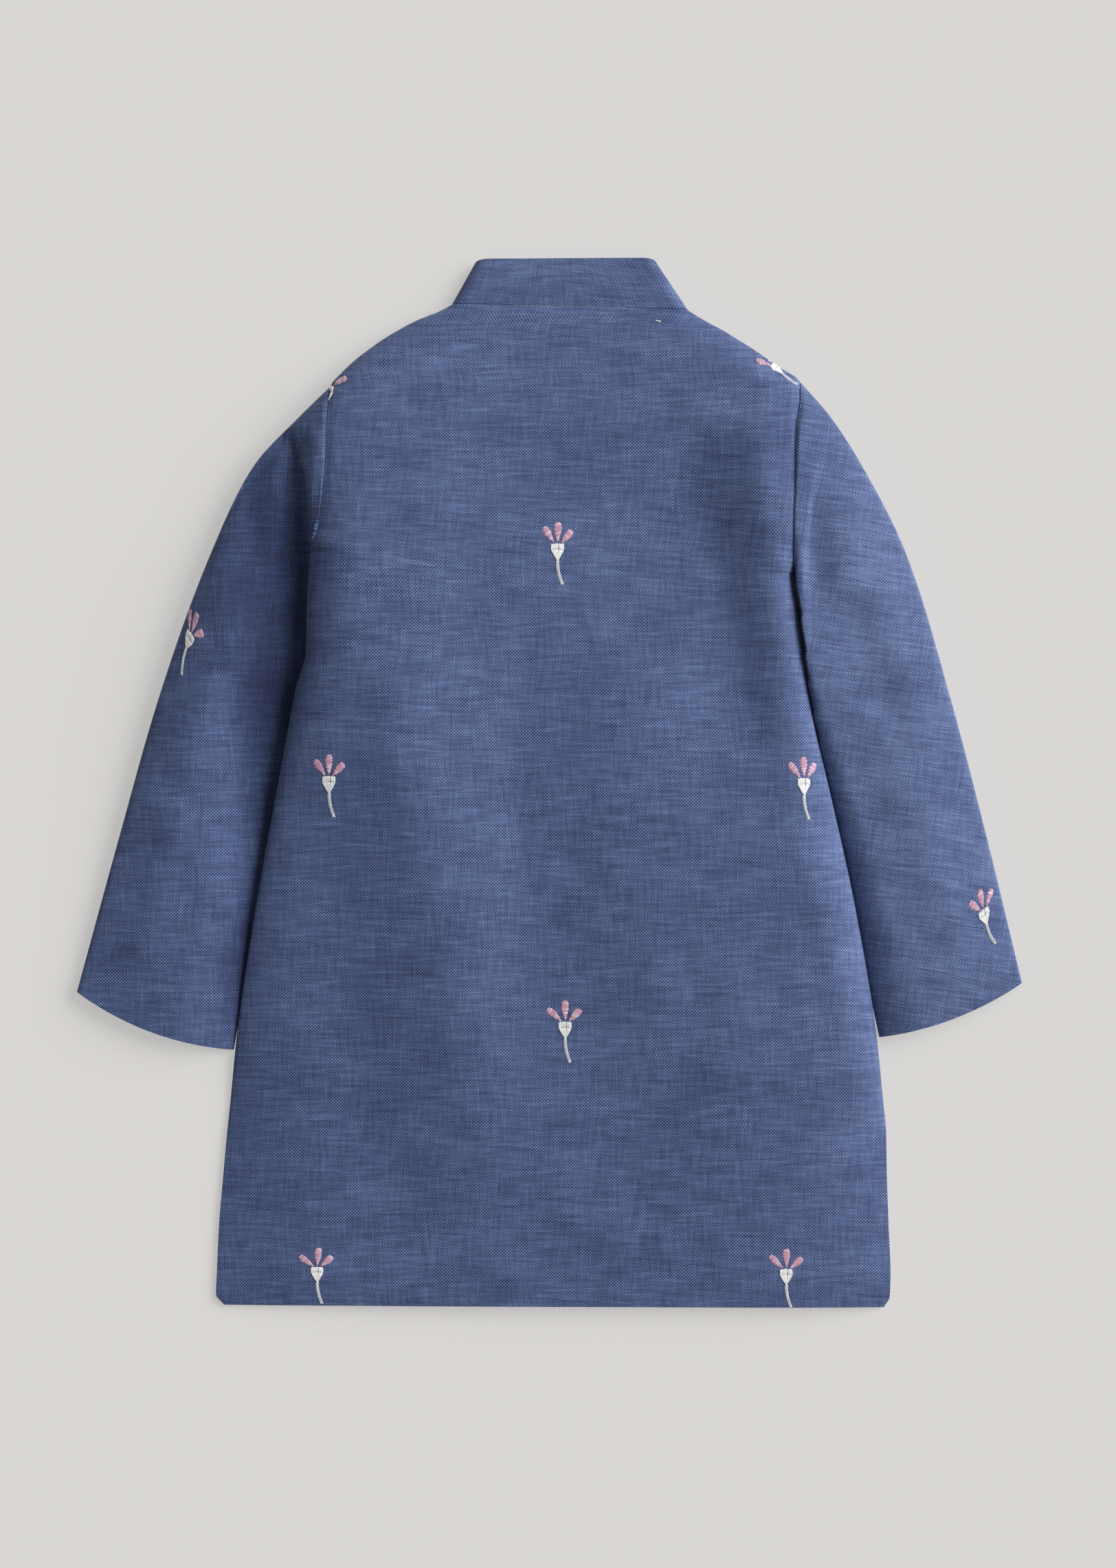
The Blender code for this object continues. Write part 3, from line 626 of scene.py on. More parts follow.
def fine_rows(step):
    """Section places from the hem to the neck, closer together at the armhole's ends."""
    ends = np.array([0.004, 0.012, 0.025, 0.045, 0.07, 0.1, 0.9, 0.93, 0.955, 0.975, 0.988, 0.996])
    places = list(np.arange(BODY[0][0], BODY[-1][0], step)) + [BODY[-1][0]]
    places += list(SHOULDER - (SHOULDER - ARMPIT) * ends)
    places += [ARMPIT, SHOULDER, SLIT_TOP, 272.6, 275.8, -300.5]
    places = sorted(places)
    kept = [places[0]]
    for place in places[1:]:
        if place - kept[-1] > 0.35:
            kept.append(place)
    return np.array(kept)


# Meshes

def normals(grid, ring, side):
    rows = np.gradient(grid, axis=0)
    if ring:
        cols = np.roll(grid, -1, axis=1) - np.roll(grid, 1, axis=1)
    else:
        cols = np.gradient(grid, axis=1)
    found = np.cross(cols, rows) * side
    return found / np.maximum(np.linalg.norm(found, axis=2, keepdims=True), 1e-9)


def new_object(name, data):
    made = bpy.data.objects.new(name, data)
    bpy.context.scene.collection.objects.link(made)
    return made


def mesh_from(name, points, faces, look, weave=None):
    """A mesh object from points in millimetres, with the cloth's own coordinates and the painted light and
    shade beside them.
    """
    data = bpy.data.meshes.new(name)
    data.from_pydata([tuple(p) for p in np.asarray(points) * MM], [], faces)
    if weave is not None:
        store = data.attributes.new("weave", "FLOAT_VECTOR", "POINT")
        flat = np.zeros((len(points), 3), np.float32)
        flat[:, :2] = weave
        # Third value: painted light and shade, read by the cloth's material
        flat[:, 2] = painted_shading_at(np.asarray(points))
        store.data.foreach_set("vector", flat.ravel())
    data.materials.append(look)
    data.validate()
    return new_object(name, data)


def painted_shading_at(points, table=PAINTED_LIGHT_AND_SHADE):
    """Painted light and shade: broad soft lighter and darker patches from a table."""
    tone = np.zeros(len(points))
    for x, y, wide, tall, amount in table:
        tone += amount * np.exp(-((points[:, 0] - x) / wide) ** 2 - ((points[:, 1] - y) / tall) ** 2)
    return tone


def paint_shade(made, table):
    """Adds more painted shade from a table to a finished piece."""
    count = len(made.data.vertices)
    points = np.empty(count * 3, np.float32)
    made.data.vertices.foreach_get("co", points)
    tones = np.empty(count * 3, np.float32)
    store = made.data.attributes["weave"].data
    store.foreach_get("vector", tones)
    tones = tones.reshape(-1, 3)
    tones[:, 2] += painted_shading_at(points.reshape(-1, 3) * 1000, table)
    store.foreach_set("vector", tones.ravel())


def tidy_normals(made, angle=50):
    work = bmesh.new()
    work.from_mesh(made.data)
    bmesh.ops.recalc_face_normals(work, faces=work.faces[:])
    work.to_mesh(made.data)
    work.free()
    made.data.shade_smooth()
    made.data.set_sharp_from_angle(angle=math.radians(angle))


def shell(name, outer, inner, ring, look, weave):
    """A closed thin shell between two matching grids."""
    rows, cols = outer.shape[:2]
    count = rows * cols
    index = np.arange(count).reshape(rows, cols)
    if ring:
        index = np.concatenate([index, index[:, :1]], axis=1)
    a = index[:-1, :-1].ravel()
    b = index[:-1, 1:].ravel()
    c = index[1:, 1:].ravel()
    d = index[1:, :-1].ravel()
    faces = list(zip(a, b, c, d))
    faces += list(zip(a + count, d + count, c + count, b + count))
    for line in (index[0], index[-1]):
        faces += [(p, q, q + count, p + count) for p, q in zip(line[:-1], line[1:])]
    if not ring:
        for line in (index[:, 0], index[:, -1]):
            faces += [(p, q, q + count, p + count) for p, q in zip(line[:-1], line[1:])]
    faces = [tuple(int(v) for v in face) for face in faces]
    points = np.concatenate([outer.reshape(-1, 3), inner.reshape(-1, 3)])
    cloth = np.concatenate([weave.reshape(-1, 2), weave.reshape(-1, 2)])
    made = mesh_from(name, points, faces, look, cloth)
    tidy_normals(made)
    return made


def arc_weave(grid, middle):
    """The cloth's own coordinates on a grid: lengths along its rows and columns."""
    wide = np.linalg.norm(np.diff(grid, axis=1), axis=2)
    u = np.concatenate([np.zeros((len(grid), 1)), np.cumsum(wide, axis=1)], axis=1)
    u = u - u[:, middle:middle + 1]
    v = lengths_along(grid[:, middle])[:, None] + np.zeros_like(u)
    return np.stack([u, v], axis=-1)


def sleeve_weave(outer, side):
    """The cloth's coordinates on a sleeve: a straight grain in plan, with the arcs' extra length added."""
    turn = math.radians(SLEEVE_GRAINS[0 if side < 0 else 1])
    arc = np.linalg.norm(np.diff(outer, axis=1), axis=2)
    flat = np.linalg.norm(np.diff(outer[..., :2], axis=1), axis=2)
    extra = np.concatenate([np.zeros((len(outer), 1)), np.cumsum(arc - flat, axis=1)], axis=1)
    extra = extra - extra[:, SLEEVE_HALF // 2][:, None]
    u = outer[..., 0] * math.cos(turn) + outer[..., 1] * math.sin(turn) - side * extra
    v = outer[..., 1] * math.cos(turn) - outer[..., 0] * math.sin(turn)
    return np.stack([u, v], axis=-1)


def panel_inner(outer, y, side):
    """The inner points of a panel. Its side edges are cut square to the seam they meet."""
    inner = outer - normals(outer, False, side) * CLOTH
    share = armhole_share(y)
    closed = ~((share > 0) & (share < 1))
    slit = slit_share(y)
    for end, inward in ((0, 1), (-1, -1)):
        tangent = np.gradient(outer[:, end, :2], axis=0)
        tangent /= np.linalg.norm(tangent, axis=1, keepdims=True)
        flat = np.stack([tangent[:, 1], -tangent[:, 0], np.zeros(len(y))], axis=1) * inward
        push = flat * (1 - slit)[:, None]
        push[:, 2] -= side * slit
        push /= np.linalg.norm(push, axis=1, keepdims=True)
        inner[closed, end] = outer[closed, end] + CLOTH * push[closed]
    return inner


def build_back(look):
    y = fine_rows(BACK_STEP)
    row = body_at(y)
    x = across(row, row["round"], BACK_EDGE, BACK_MIDDLE)
    outer = back_surface(y[:, None] + 0 * x, x)
    weave = arc_weave(outer, x.shape[1] // 2)
    made = shell("cloth_back", outer, panel_inner(outer, y, 1), False, look, weave)
    claim(made, "back")
    return made


def build_front(look):
    y = fine_rows(FRONT_STEP)
    row = body_at(y)
    x = across(row, FRONT_CURL * row["seam"], FRONT_EDGE, FRONT_MIDDLE)
    outer = front_surface(y[:, None] + 0 * x, x)
    made = shell("cloth_front", outer, panel_inner(outer, y, -1), False, look, outer[..., :2])
    cut_neck(made)
    claim(made, "front")
    return made


def bezier(a, b, c, d, t):
    return (1 - t) ** 3 * a + 3 * (1 - t) ** 2 * t * b + 3 * (1 - t) * t * t * c + t ** 3 * d


def neckline(side, share):
    top = np.array(NECK_LEFT if side < 0 else NECK_RIGHT, float)
    start = top + np.array([-side * NECK_TIP, 0.0])
    away = start + np.array([-side * NECK_START[0], NECK_START[1]]) * NECK_REACH
    low = np.array([CENTRE, NECK_LOW])
    near = low + np.array([side * NECK_FLOOR_REACH, 0.0])
    return bezier(start, away, near, low, share)


def neck_frame(side, share):
    share = min(share, 1.0)
    spot = neckline(side, share)
    run = neckline(side, min(share + 0.01, 1.0)) - neckline(side, max(share - 0.01, 0.0))
    turn = np.array([run[1], -run[0]]) * side
    turn /= np.linalg.norm(turn)
    if turn[1] < 0:
        turn = -turn
    return spot, turn


def neck_edge(side, share, off):
    start = np.array(NECK_LEFT if side < 0 else NECK_RIGHT)
    spot, turn = neck_frame(side, share)
    blend = min(1.0, share / FOLD_SHARE)
    return (spot + turn * off) * blend + (start + np.array([0.0, off])) * (1 - blend)


def front_shares():
    bend = [FOLD_SHARE * (1 - math.cos(math.pi / 2 * k / 10)) for k in range(11)]
    return bend + list(np.linspace(FOLD_SHARE, 1.0, 41)[1:])


def cut_neck(made):
    """Cuts the neck and the placket slot out of the front with a guide that isn't kept."""
    half = PLACKET_WIDTH / 2
    left = [neck_edge(-1, share, 0.0) for share in front_shares()]
    right = [neck_edge(1, share, 0.0) for share in reversed(front_shares())]
    edge = [spot for spot in left if spot[0] < CENTRE - half]
    edge += [np.array([CENTRE - half, NECK_LOW]), np.array([CENTRE - half, NECK_LOW - PLACKET_LENGTH])]
    edge += [np.array([CENTRE + half, NECK_LOW - PLACKET_LENGTH]), np.array([CENTRE + half, NECK_LOW])]
    edge += [spot for spot in right if spot[0] > CENTRE + half]
    edge += [edge[-1] + np.array([0.0, 20.0]), edge[0] + np.array([0.0, 20.0])]
    work = bmesh.new()
    low = [work.verts.new((x * MM, y * MM, -5 * MM)) for x, y in edge]
    lifted = bmesh.ops.extrude_face_region(work, geom=[work.faces.new(low)])
    raised = [v for v in lifted["geom"] if isinstance(v, bmesh.types.BMVert)]
    bmesh.ops.translate(work, vec=(0, 0, 30 * MM), verts=raised)
    bmesh.ops.recalc_face_normals(work, faces=work.faces[:])
    data = bpy.data.meshes.new("neck_guide")
    work.to_mesh(data)
    work.free()
    guide = new_object("neck_guide", data)
    cut = made.modifiers.new("neck", "BOOLEAN")
    cut.operation = "DIFFERENCE"
    cut.solver = "EXACT"
    cut.object = guide
    bpy.context.view_layer.update()
    seen = made.evaluated_get(bpy.context.evaluated_depsgraph_get())
    fresh = bpy.data.meshes.new_from_object(seen)
    made.modifiers.remove(cut)
    made.data = fresh
    bpy.data.objects.remove(guide)
    bpy.data.meshes.remove(data)
    spots = np.empty(len(fresh.vertices) * 3, np.float32)
    fresh.vertices.foreach_get("co", spots)
    flat = spots.reshape(-1, 3).copy() / MM
    # Third value: painted light and shade, read by the cloth's material
    flat[:, 2] = painted_shading_at(flat)
    if "weave" in fresh.attributes:
        fresh.attributes.remove(fresh.attributes["weave"])
    store = fresh.attributes.new("weave", "FLOAT_VECTOR", "POINT")
    store.data.foreach_set("vector", flat.ravel())


# Sleeves

def armhole_plan(side, share):
    row = body_at(SHOULDER - (SHOULDER - ARMPIT) * share)
    x = row["left"] - SEAM_GAP if side < 0 else row["right"] + SEAM_GAP
    return np.stack([x, row["y"] + side * row["tilt"] / 2], axis=-1)


def sleeve_plan(side, row, share):
    outer = along_path(LEFT_OUTER if side < 0 else RIGHT_OUTER, row["along"])
    inner = along_path(LEFT_INNER if side < 0 else RIGHT_INNER, row["along"])
    part = share[..., None]
    spot = outer + (inner - outer) * part
    first = armhole_plan(side, np.zeros(1))[0]
    last = armhole_plan(side, np.ones(1))[0]
    seam = armhole_plan(side, share)
    fade = np.maximum(0.0, 1 - row["along"] / SEAM_BOW_FADE)[..., None]
    spot = spot + (seam - first * (1 - part) - last * part) * fade
    spot = np.where(row["along"][..., None] == 0, seam, spot)
    run = inner - outer
    down = np.stack([run[..., 1], -run[..., 0]], axis=-1) * (1 if side < 0 else -1)
    down /= np.linalg.norm(down, axis=-1, keepdims=True)
    bow = LEFT_CUFF_BOW if side < 0 else RIGHT_CUFF_BOW
    push = bow * 4 * share * (1 - share) * np.maximum(0.0, row["along"] - 0.4) / 0.6
    return spot + down * push[..., None]


def crown(side, along, share):
    """Height across a sleeve from 0 to 1: highest at its crown's place, and hollow beside the body."""
    head, cuff = CROWN_PLACES[0 if side < 0 else 1]
    top = head + (cuff - head) * smooth_step(along)
    outer = np.clip(share / top, 0, 1)
    inner = np.clip((1 - share) / (1 - top), 0, 1)
    near, far = INNER_POWERS[0 if side < 0 else 1]
    hollow = near + (far - near) * smooth_step(along / 0.9)
    rising = np.maximum(0.0, 1 - (1 - outer) ** CROWN_POWER) ** 0.7
    falling = np.maximum(0.0, 1 - (1 - inner) ** 2) ** hollow
    return np.where(share < top, rising, falling)


def cliff_drop(side, x, y):
    """The sharp step beside the armhole seam, from which the sleeve recovers further out."""
    table = LEFT_CLIFF if side < 0 else RIGHT_CLIFF
    rows = np.asarray(table, float)[::-1]
    line = np.interp(y, rows[:, 1], rows[:, 0])
    deep = np.interp(y, rows[:, 1], rows[:, 2])
    away = (line - x) * (1 if side < 0 else -1)
    wide = CLIFF_WIDTHS[0 if side < 0 else 1]
    return deep * smooth_step(away / 4.5 + 0.5) * (1 - smooth_step((away - 5) / wide))


def under_body(side, spot):
    """The greatest height a sleeve may have at a place in plan: it stays clear under the body's side."""
    row = body_at(np.minimum(spot[..., 1], ARMPIT))
    edge = row["left"] if side < 0 else row["right"]
    out = (spot[..., 0] - edge) * side
    wide = FRONT_CURL * row["seam"]
    curl = edge_heights(row)[1] * (1 - rounding(-out / wide, 2))
    below = spot[..., 1] < ARMPIT - 3
    slope = UNDER_SLOPES[0 if side < 0 else 1] * np.maximum(0.0, out - UNDER_CLEAR)
    near_seam = UNDER_FREE * (1 - smooth_step((ARMPIT - spot[..., 1]) / UNDER_FADE))
    free = np.where(out < UNDER_CLEAR, 0.0, UNDER_STEPS[0 if side < 0 else 1] + near_seam)
    return np.where(below, np.maximum(curl - UNDER_CLEAR, 2.4) + slope + free, 99.0)


def soft_min(a, b, soft):
    """The lower of two heights, eased where they cross."""
    least = np.minimum(a, b)
    return least - soft * np.log1p(np.exp(-np.abs(a - b) / soft))


def seam_dip(side, y):
    """How far the cloth turns in at an armhole seam: most at the right shoulder."""
    if side < 0:
        return SEAM_DIP
    return SEAM_DIP + (RIGHT_SEAM_DIP - SEAM_DIP) * smooth_step((y - 165) / 45)


def sleeve_surface(side, along, share, upper):
    """Points of a sleeve's outer face; share is 0 at the outer edge and 1 at the inner one."""
    along, share = np.broadcast_arrays(np.asarray(along, float), np.asarray(share, float))
    row = columns_at(SLEEVE, SLEEVE_COLUMNS, along)
    spot = sleeve_plan(side, row, share)
    mid = row["outer_mid"] * (1 - share) + row["inner_mid"] * share
    if not upper:
        return np.concatenate([spot, np.maximum(mid * floor_arch(share), FRONT_LIFT)[..., None]], axis=-1)
    steep = arch(share)
    slope = crown(side, along, share)
    cap = INNER_FOLD * np.sqrt(np.maximum(0.0, 1 - np.abs(2 * share - 1) ** 40))
    soft = cap + (row["height"] - mid - INNER_FOLD) * slope
    full = (row["height"] - mid) * steep
    rise = full * (1 - row["gentle"]) + soft * row["gentle"]
    table = LEFT_LOW if side < 0 else RIGHT_LOW
    start = LOW_STARTS[0 if side < 0 else 1]
    low = column_at(table, 1, along)
    rise = rise * (1 - low * smooth_step((share - start) / (0.75 - start)))
    folds = LEFT_FOLDS if side < 0 else RIGHT_FOLDS
    creases = LEFT_CREASES if side < 0 else RIGHT_CREASES
    x, y = spot[..., 0], spot[..., 1]
    begun = np.minimum(1.0, along / 0.05)
    drop = fold_drop(folds, x, y) * steep * begun
    drop = drop + crease_drop(creases, x, y) * steep * begun
    drop = drop + cliff_drop(side, x, y) * np.minimum(1.0, along / 0.012)
    turned = np.exp(-((along * SLEEVE_LENGTH / SEAM_DIP_WIDTH) ** 2))
    drop = drop + seam_dip(side, y) * turned * steep
    drop = np.minimum(drop, np.maximum(0.0, rise - 1.5))
    rise = soft_min(rise, under_body(side, spot) - mid + drop, UNDER_SOFT)
    return np.concatenate([spot, (mid + rise - drop)[..., None]], axis=-1)


def sleeve_alongs():
    close = list(np.arange(0, SLEEVE_CLOSE, SLEEVE_STEP))
    return np.array(close + list(np.linspace(SLEEVE_CLOSE, 1.0, SLEEVE_RINGS - len(close))))


def build_sleeve(side, look):
    turn = (1 - np.cos(math.pi * np.arange(SLEEVE_HALF + 1) / SLEEVE_HALF)) / 2
    along = sleeve_alongs()[:, None]
    top = sleeve_surface(side, along, turn[None, :], True)
    low = sleeve_surface(side, along, turn[None, 1:-1][:, ::-1], False)
    outer = np.concatenate([top, low], axis=1)
    inner = outer - normals(outer, True, side) * CLOTH
    inner[0, :, 0] = outer[0, :, 0]
    outer[..., 2] = np.maximum(outer[..., 2], SLEEVE_REST[0])
    inner[..., 2] = np.maximum(inner[..., 2], SLEEVE_REST[1])
    name = "left" if side < 0 else "right"
    made = shell("cloth_sleeve_" + name, outer, inner, True, look, sleeve_weave(outer, side))
    # Painted shadow in the left sleeve's hollow beside the body
    if side < 0:
        paint_shade(made, LEFT_HOLLOW_PAINTED_SHADE)
    claim(made, "sleeve_" + name)
    return made


# Collar and placket

def collar_seam(place):
    left = np.array(NECK_LEFT)
    right = np.array(NECK_RIGHT)
    if abs(place) <= 1:
        spot = left + (right - left) * (place + 1) / 2 + np.array([0.0, SEAM_GAP])
        near = (1 - abs(place)) / 2 * (right[0] - left[0])
        rise = rounding(near / COLLAR_ROUND, 2)
        mid = COLLAR_SEAM_HEIGHT / 2
        return np.array([spot[0], spot[1], mid + (COLLAR_SEAM_HEIGHT - mid) * rise])
    side = -1 if place < 0 else 1
    share = abs(place) - 1
    spot = neck_edge(side, share, SEAM_GAP)
    rise = rounding(share / FOLD_SHARE, 2)
    return np.array([spot[0], spot[1], COLLAR_SEAM_HEIGHT / 2 * (1 - rise)])


def collar_top(place):
    left = np.array(COLLAR_TOP_LEFT)
    right = np.array(COLLAR_TOP_RIGHT)
    mid = COLLAR_TOP_HEIGHT / 2
    if abs(place) <= 1:
        spot = left + (right - left) * (place + 1) / 2
        near = (1 - abs(place)) / 2 * (right[0] - left[0])
        rise = rounding(near / COLLAR_ROUND, 2)
        corner = COLLAR_CORNER * (1 - rounding(near / COLLAR_ROUND, 2))
        return np.array([spot[0], spot[1] - corner, mid + (COLLAR_TOP_HEIGHT - mid) * rise])
    side = -1 if place < 0 else 1
    share = abs(place) - 1
    spot, turn = neck_frame(side, share)
    spot = spot + turn * COLLAR_WIDTH
    blend = float(smooth_step(share / 0.3))
    spot = spot * blend + (left if side < 0 else right) * (1 - blend)
    rise = rounding(share / FOLD_SHARE, 2)
    corner = COLLAR_CORNER * float(1 - smooth_step(share / 0.12))
    return np.array([spot[0], spot[1] - corner, mid * (1 - rise)])


def collar_places():
    front = front_shares()
    wide = 2 * COLLAR_ROUND / (NECK_RIGHT[0] - NECK_LEFT[0])
    turn = [wide * (1 - math.cos(math.pi / 2 * k / 10)) for k in range(1, 11)]
    back = [-1 + t for t in turn] + list(np.linspace(-1 + wide, 1 - wide, 60)[1:-1])
    back += [1 - t for t in reversed(turn)]
    return [-1 - s for s in reversed(front)] + back + [1 + s for s in front]


def build_collar(look):
    lines = []
    share = np.linspace(0, 1, COLLAR_ACROSS + 1)[:, None]
    for place in collar_places():
        low = collar_seam(place)
        high = collar_top(place)
        lines.append(low + (high - low) * share)
    outer = np.array(lines)
    outer[0, :, 0] = CENTRE - COLLAR_END_GAP
    outer[-1, :, 0] = CENTRE + COLLAR_END_GAP
    inner = outer - normals(outer, False, -1) * COLLAR_CLOTH
    weave = arc_weave(outer, 0)[..., ::-1]
    made = shell("cloth_collar", outer, inner, False, look, weave)
    claim(made, "collar")
    return made


def placket_lift(x, y, half, low, high, inset, raised):
    near = np.minimum(np.minimum(half - np.abs(x), y - low), high - y) + inset
    return FLOOR_CLEAR + (PLACKET_LIFT - FLOOR_CLEAR) * smooth_step(near / PLACKET_EDGE) + raised


def build_placket(name, inset, raised, look):
    half = PLACKET_WIDTH / 2 - SEAM_GAP - inset
    low = NECK_LOW - PLACKET_LENGTH + SEAM_GAP + inset
    high = NECK_LOW - SEAM_GAP - inset
    x = np.linspace(-half, half, PLACKET_GRID[0])[None, :]
    y = np.linspace(low, high, PLACKET_GRID[1])[:, None]
    z = placket_lift(x, y, half, low, high, inset, raised)
    x, y = np.broadcast_arrays(x, y)
    lower = np.stack([CENTRE + x, y, z], axis=-1)
    upper = lower + np.array([0.0, 0.0, PLACKET_CLOTH])
    made = shell("cloth_" + name, lower, upper, False, look, lower[..., :2])
    claim(made, name)
    return made


# What each piece stands for

def claim(piece, node):
    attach(piece, "root")
    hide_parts(node)


# Materials

def node_maker(tree):
    def make(kind, **settings):
        made = tree.nodes.new(kind)
        for key, value in settings.items():
            setattr(made, key, value)
        return made
    return make


def new_look(name):
    made = bpy.data.materials.new(name)
    made.use_nodes = True
    return made, made.node_tree, made.node_tree.nodes["Principled BSDF"]


def add_bump(tree, shader, height, strength, depth):
    bump = tree.nodes.new("ShaderNodeBump")
    bump.inputs["Strength"].default_value = strength
    bump.inputs["Distance"].default_value = depth
    tree.links.new(height, bump.inputs["Height"])
    tree.links.new(bump.outputs["Normal"], shader.inputs["Normal"])


def weave_nodes(tree):
    """Cloth coordinates in millimetres, moved a little so that no thread is quite straight."""
    make = node_maker(tree)
    link = tree.links.new
    read = make("ShaderNodeAttribute", attribute_name="weave")
    wander = make("ShaderNodeTexNoise", noise_dimensions="2D")
    wander.inputs["Scale"].default_value = WANDER_SCALE
    wander.inputs["Detail"].default_value = 1.0
    link(read.outputs["Vector"], wander.inputs["Vector"])
    centre = make("ShaderNodeVectorMath", operation="SUBTRACT")
    centre.inputs[1].default_value = (0.5, 0.5, 0.5)
    link(wander.outputs["Color"], centre.inputs[0])
    size = make("ShaderNodeVectorMath", operation="SCALE")
    size.inputs["Scale"].default_value = WANDER_REACH
    link(centre.outputs[0], size.inputs[0])
    moved = make("ShaderNodeVectorMath", operation="ADD")
    link(read.outputs["Vector"], moved.inputs[0])
    link(size.outputs[0], moved.inputs[1])
    return moved.outputs[0]


def stretched_noise(tree, vector, along, detail, rough, seed):
    """Noise read with the cloth's coordinates scaled by along, in features per millimetre."""
    make = node_maker(tree)
    scaled = make("ShaderNodeVectorMath", operation="MULTIPLY_ADD")
    scaled.inputs[1].default_value = (*along, 1.0)
    scaled.inputs[2].default_value = (seed * 17.3, seed * 9.1, 0.0)
    tree.links.new(vector, scaled.inputs[0])
    noise = make("ShaderNodeTexNoise", noise_dimensions="2D")
    noise.inputs["Scale"].default_value = 1.0
    noise.inputs["Detail"].default_value = detail
    noise.inputs["Roughness"].default_value = rough
    tree.links.new(scaled.outputs[0], noise.inputs["Vector"])
    return noise.outputs["Fac"]


def maths(tree, operation, first, second=None, clamp=False):
    made = tree.nodes.new("ShaderNodeMath")
    made.operation = operation
    made.use_clamp = clamp
    for slot, value in zip(made.inputs, (first, second)):
        if value is None:
            continue
        if isinstance(value, (int, float)):
            slot.default_value = value
        else:
            tree.links.new(value, slot)
    return made.outputs[0]


def thread_streaks(tree, across, along, pitch, seed):
    """Light and dark along each thread, unlike its neighbours'."""
    place = maths(tree, "DIVIDE", across, pitch)
    number = maths(tree, "FLOOR", maths(tree, "ADD", place, 0.5))
    own = tree.nodes.new("ShaderNodeTexWhiteNoise")
    own.noise_dimensions = "1D"
    tree.links.new(maths(tree, "ADD", number, seed), own.inputs["W"])
    run = maths(tree, "MULTIPLY", along, THREAD_STREAK)
    shift = maths(tree, "ADD", run, maths(tree, "MULTIPLY", own.outputs["Value"], 300.0))
    noise = tree.nodes.new("ShaderNodeTexNoise")
    noise.noise_dimensions = "1D"
    noise.inputs["Scale"].default_value = 1.0
    noise.inputs["Detail"].default_value = 3.0
    noise.inputs["Roughness"].default_value = 0.6
    tree.links.new(shift, noise.inputs["W"])
    return maths(tree, "SUBTRACT", noise.outputs["Fac"], 0.5)


def thread_level(tree, vector):
    """Plain weave: at each crossing the colour is that of the thread on top."""
    split = tree.nodes.new("ShaderNodeSeparateXYZ")
    tree.links.new(vector, split.inputs[0])
    u = split.outputs["X"]
    v = split.outputs["Y"]
    wave_u = maths(tree, "COSINE", maths(tree, "MULTIPLY", u, math.pi / WARP_PITCH))
    wave_v = maths(tree, "COSINE", maths(tree, "MULTIPLY", v, math.pi / WEFT_PITCH))
    crossing = maths(tree, "MULTIPLY", wave_u, wave_v)
    warp = maths(tree, "MULTIPLY", thread_streaks(tree, u, v, WARP_PITCH, 11.0), WARP_SHARE)
    warp = maths(tree, "ADD", warp, WARP_LIFT)
    weft = maths(tree, "MULTIPLY", thread_streaks(tree, v, u, WEFT_PITCH, 507.0), WEFT_SHARE)
    top = maths(tree, "ADD", maths(tree, "MULTIPLY", crossing, 1.6), 0.5, clamp=True)
    under = maths(tree, "SUBTRACT", 1.0, top)
    mixed = maths(tree, "ADD", maths(tree, "MULTIPLY", warp, top), maths(tree, "MULTIPLY", weft, under))
    return maths(tree, "ADD", mixed, maths(tree, "MULTIPLY", crossing, CROSSING_SHARE))


def cloth_look(name):
    """Chambray-like plain weave: dark and light threads, slubs, soft mottling and rare red flecks, with
    painted light and shade from the stored tone.
    """
    made, tree, shader = new_look(name)
    link = tree.links.new
    vector = weave_nodes(tree)
    total = thread_level(tree, vector)
    for along, detail, rough, seed, share in CLOTH_NOISES:
        noise = stretched_noise(tree, vector, along, detail, rough, seed)
        part = maths(tree, "MULTIPLY", maths(tree, "SUBTRACT", noise, 0.5), share)
        total = maths(tree, "ADD", total, part)
    # Painted light and shade: the tone stored third in the weave attribute lightens or darkens the cloth
    tone = tree.nodes.new("ShaderNodeAttribute")
    tone.attribute_name = "weave"
    apart = tree.nodes.new("ShaderNodeSeparateXYZ")
    link(tone.outputs["Vector"], apart.inputs[0])
    total = maths(tree, "ADD", total, apart.outputs["Z"])
    level = maths(tree, "ADD", total, BASE_LEVEL, clamp=True)
    ramp = tree.nodes.new("ShaderNodeValToRGB")
    ramp.color_ramp.elements.remove(ramp.color_ramp.elements[1])
    for k, (place, colour) in enumerate(CLOTH_RAMP):
        stop = ramp.color_ramp.elements[0] if k == 0 else ramp.color_ramp.elements.new(place)
        stop.position = place
        stop.color = (*colour, 1.0)
    link(level, ramp.inputs["Fac"])
    flecks = stretched_noise(tree, vector, FLECK_SCALE, 1.0, 0.5, 8)
    fleck = maths(tree, "MULTIPLY", maths(tree, "SUBTRACT", flecks, FLECK_LEVEL), 9.0, clamp=True)
    mix = tree.nodes.new("ShaderNodeMix")
    mix.data_type = "RGBA"
    for slot in mix.inputs:
        if slot.name == "B" and slot.type == "RGBA":
            slot.default_value = (*FLECK_COLOUR, 1.0)
        if slot.name == "A" and slot.type == "RGBA":
            link(ramp.outputs["Color"], slot)
        if slot.name == "Factor" and slot.type == "VALUE":
            link(maths(tree, "MULTIPLY", fleck, 0.4), slot)
    for slot in mix.outputs:
        if slot.type == "RGBA":
            link(slot, shader.inputs["Base Color"])
    rough = maths(tree, "ADD", maths(tree, "MULTIPLY", level, -0.12), 0.92)
    link(rough, shader.inputs["Roughness"])
    shader.inputs["Sheen Weight"].default_value = 0.12
    shader.inputs["Sheen Roughness"].default_value = 0.5
    shader.inputs["Specular IOR Level"].default_value = 0.25
    add_bump(tree, shader, level, *CLOTH_BUMP)
    return made


# Embroidery, stitches and buttons

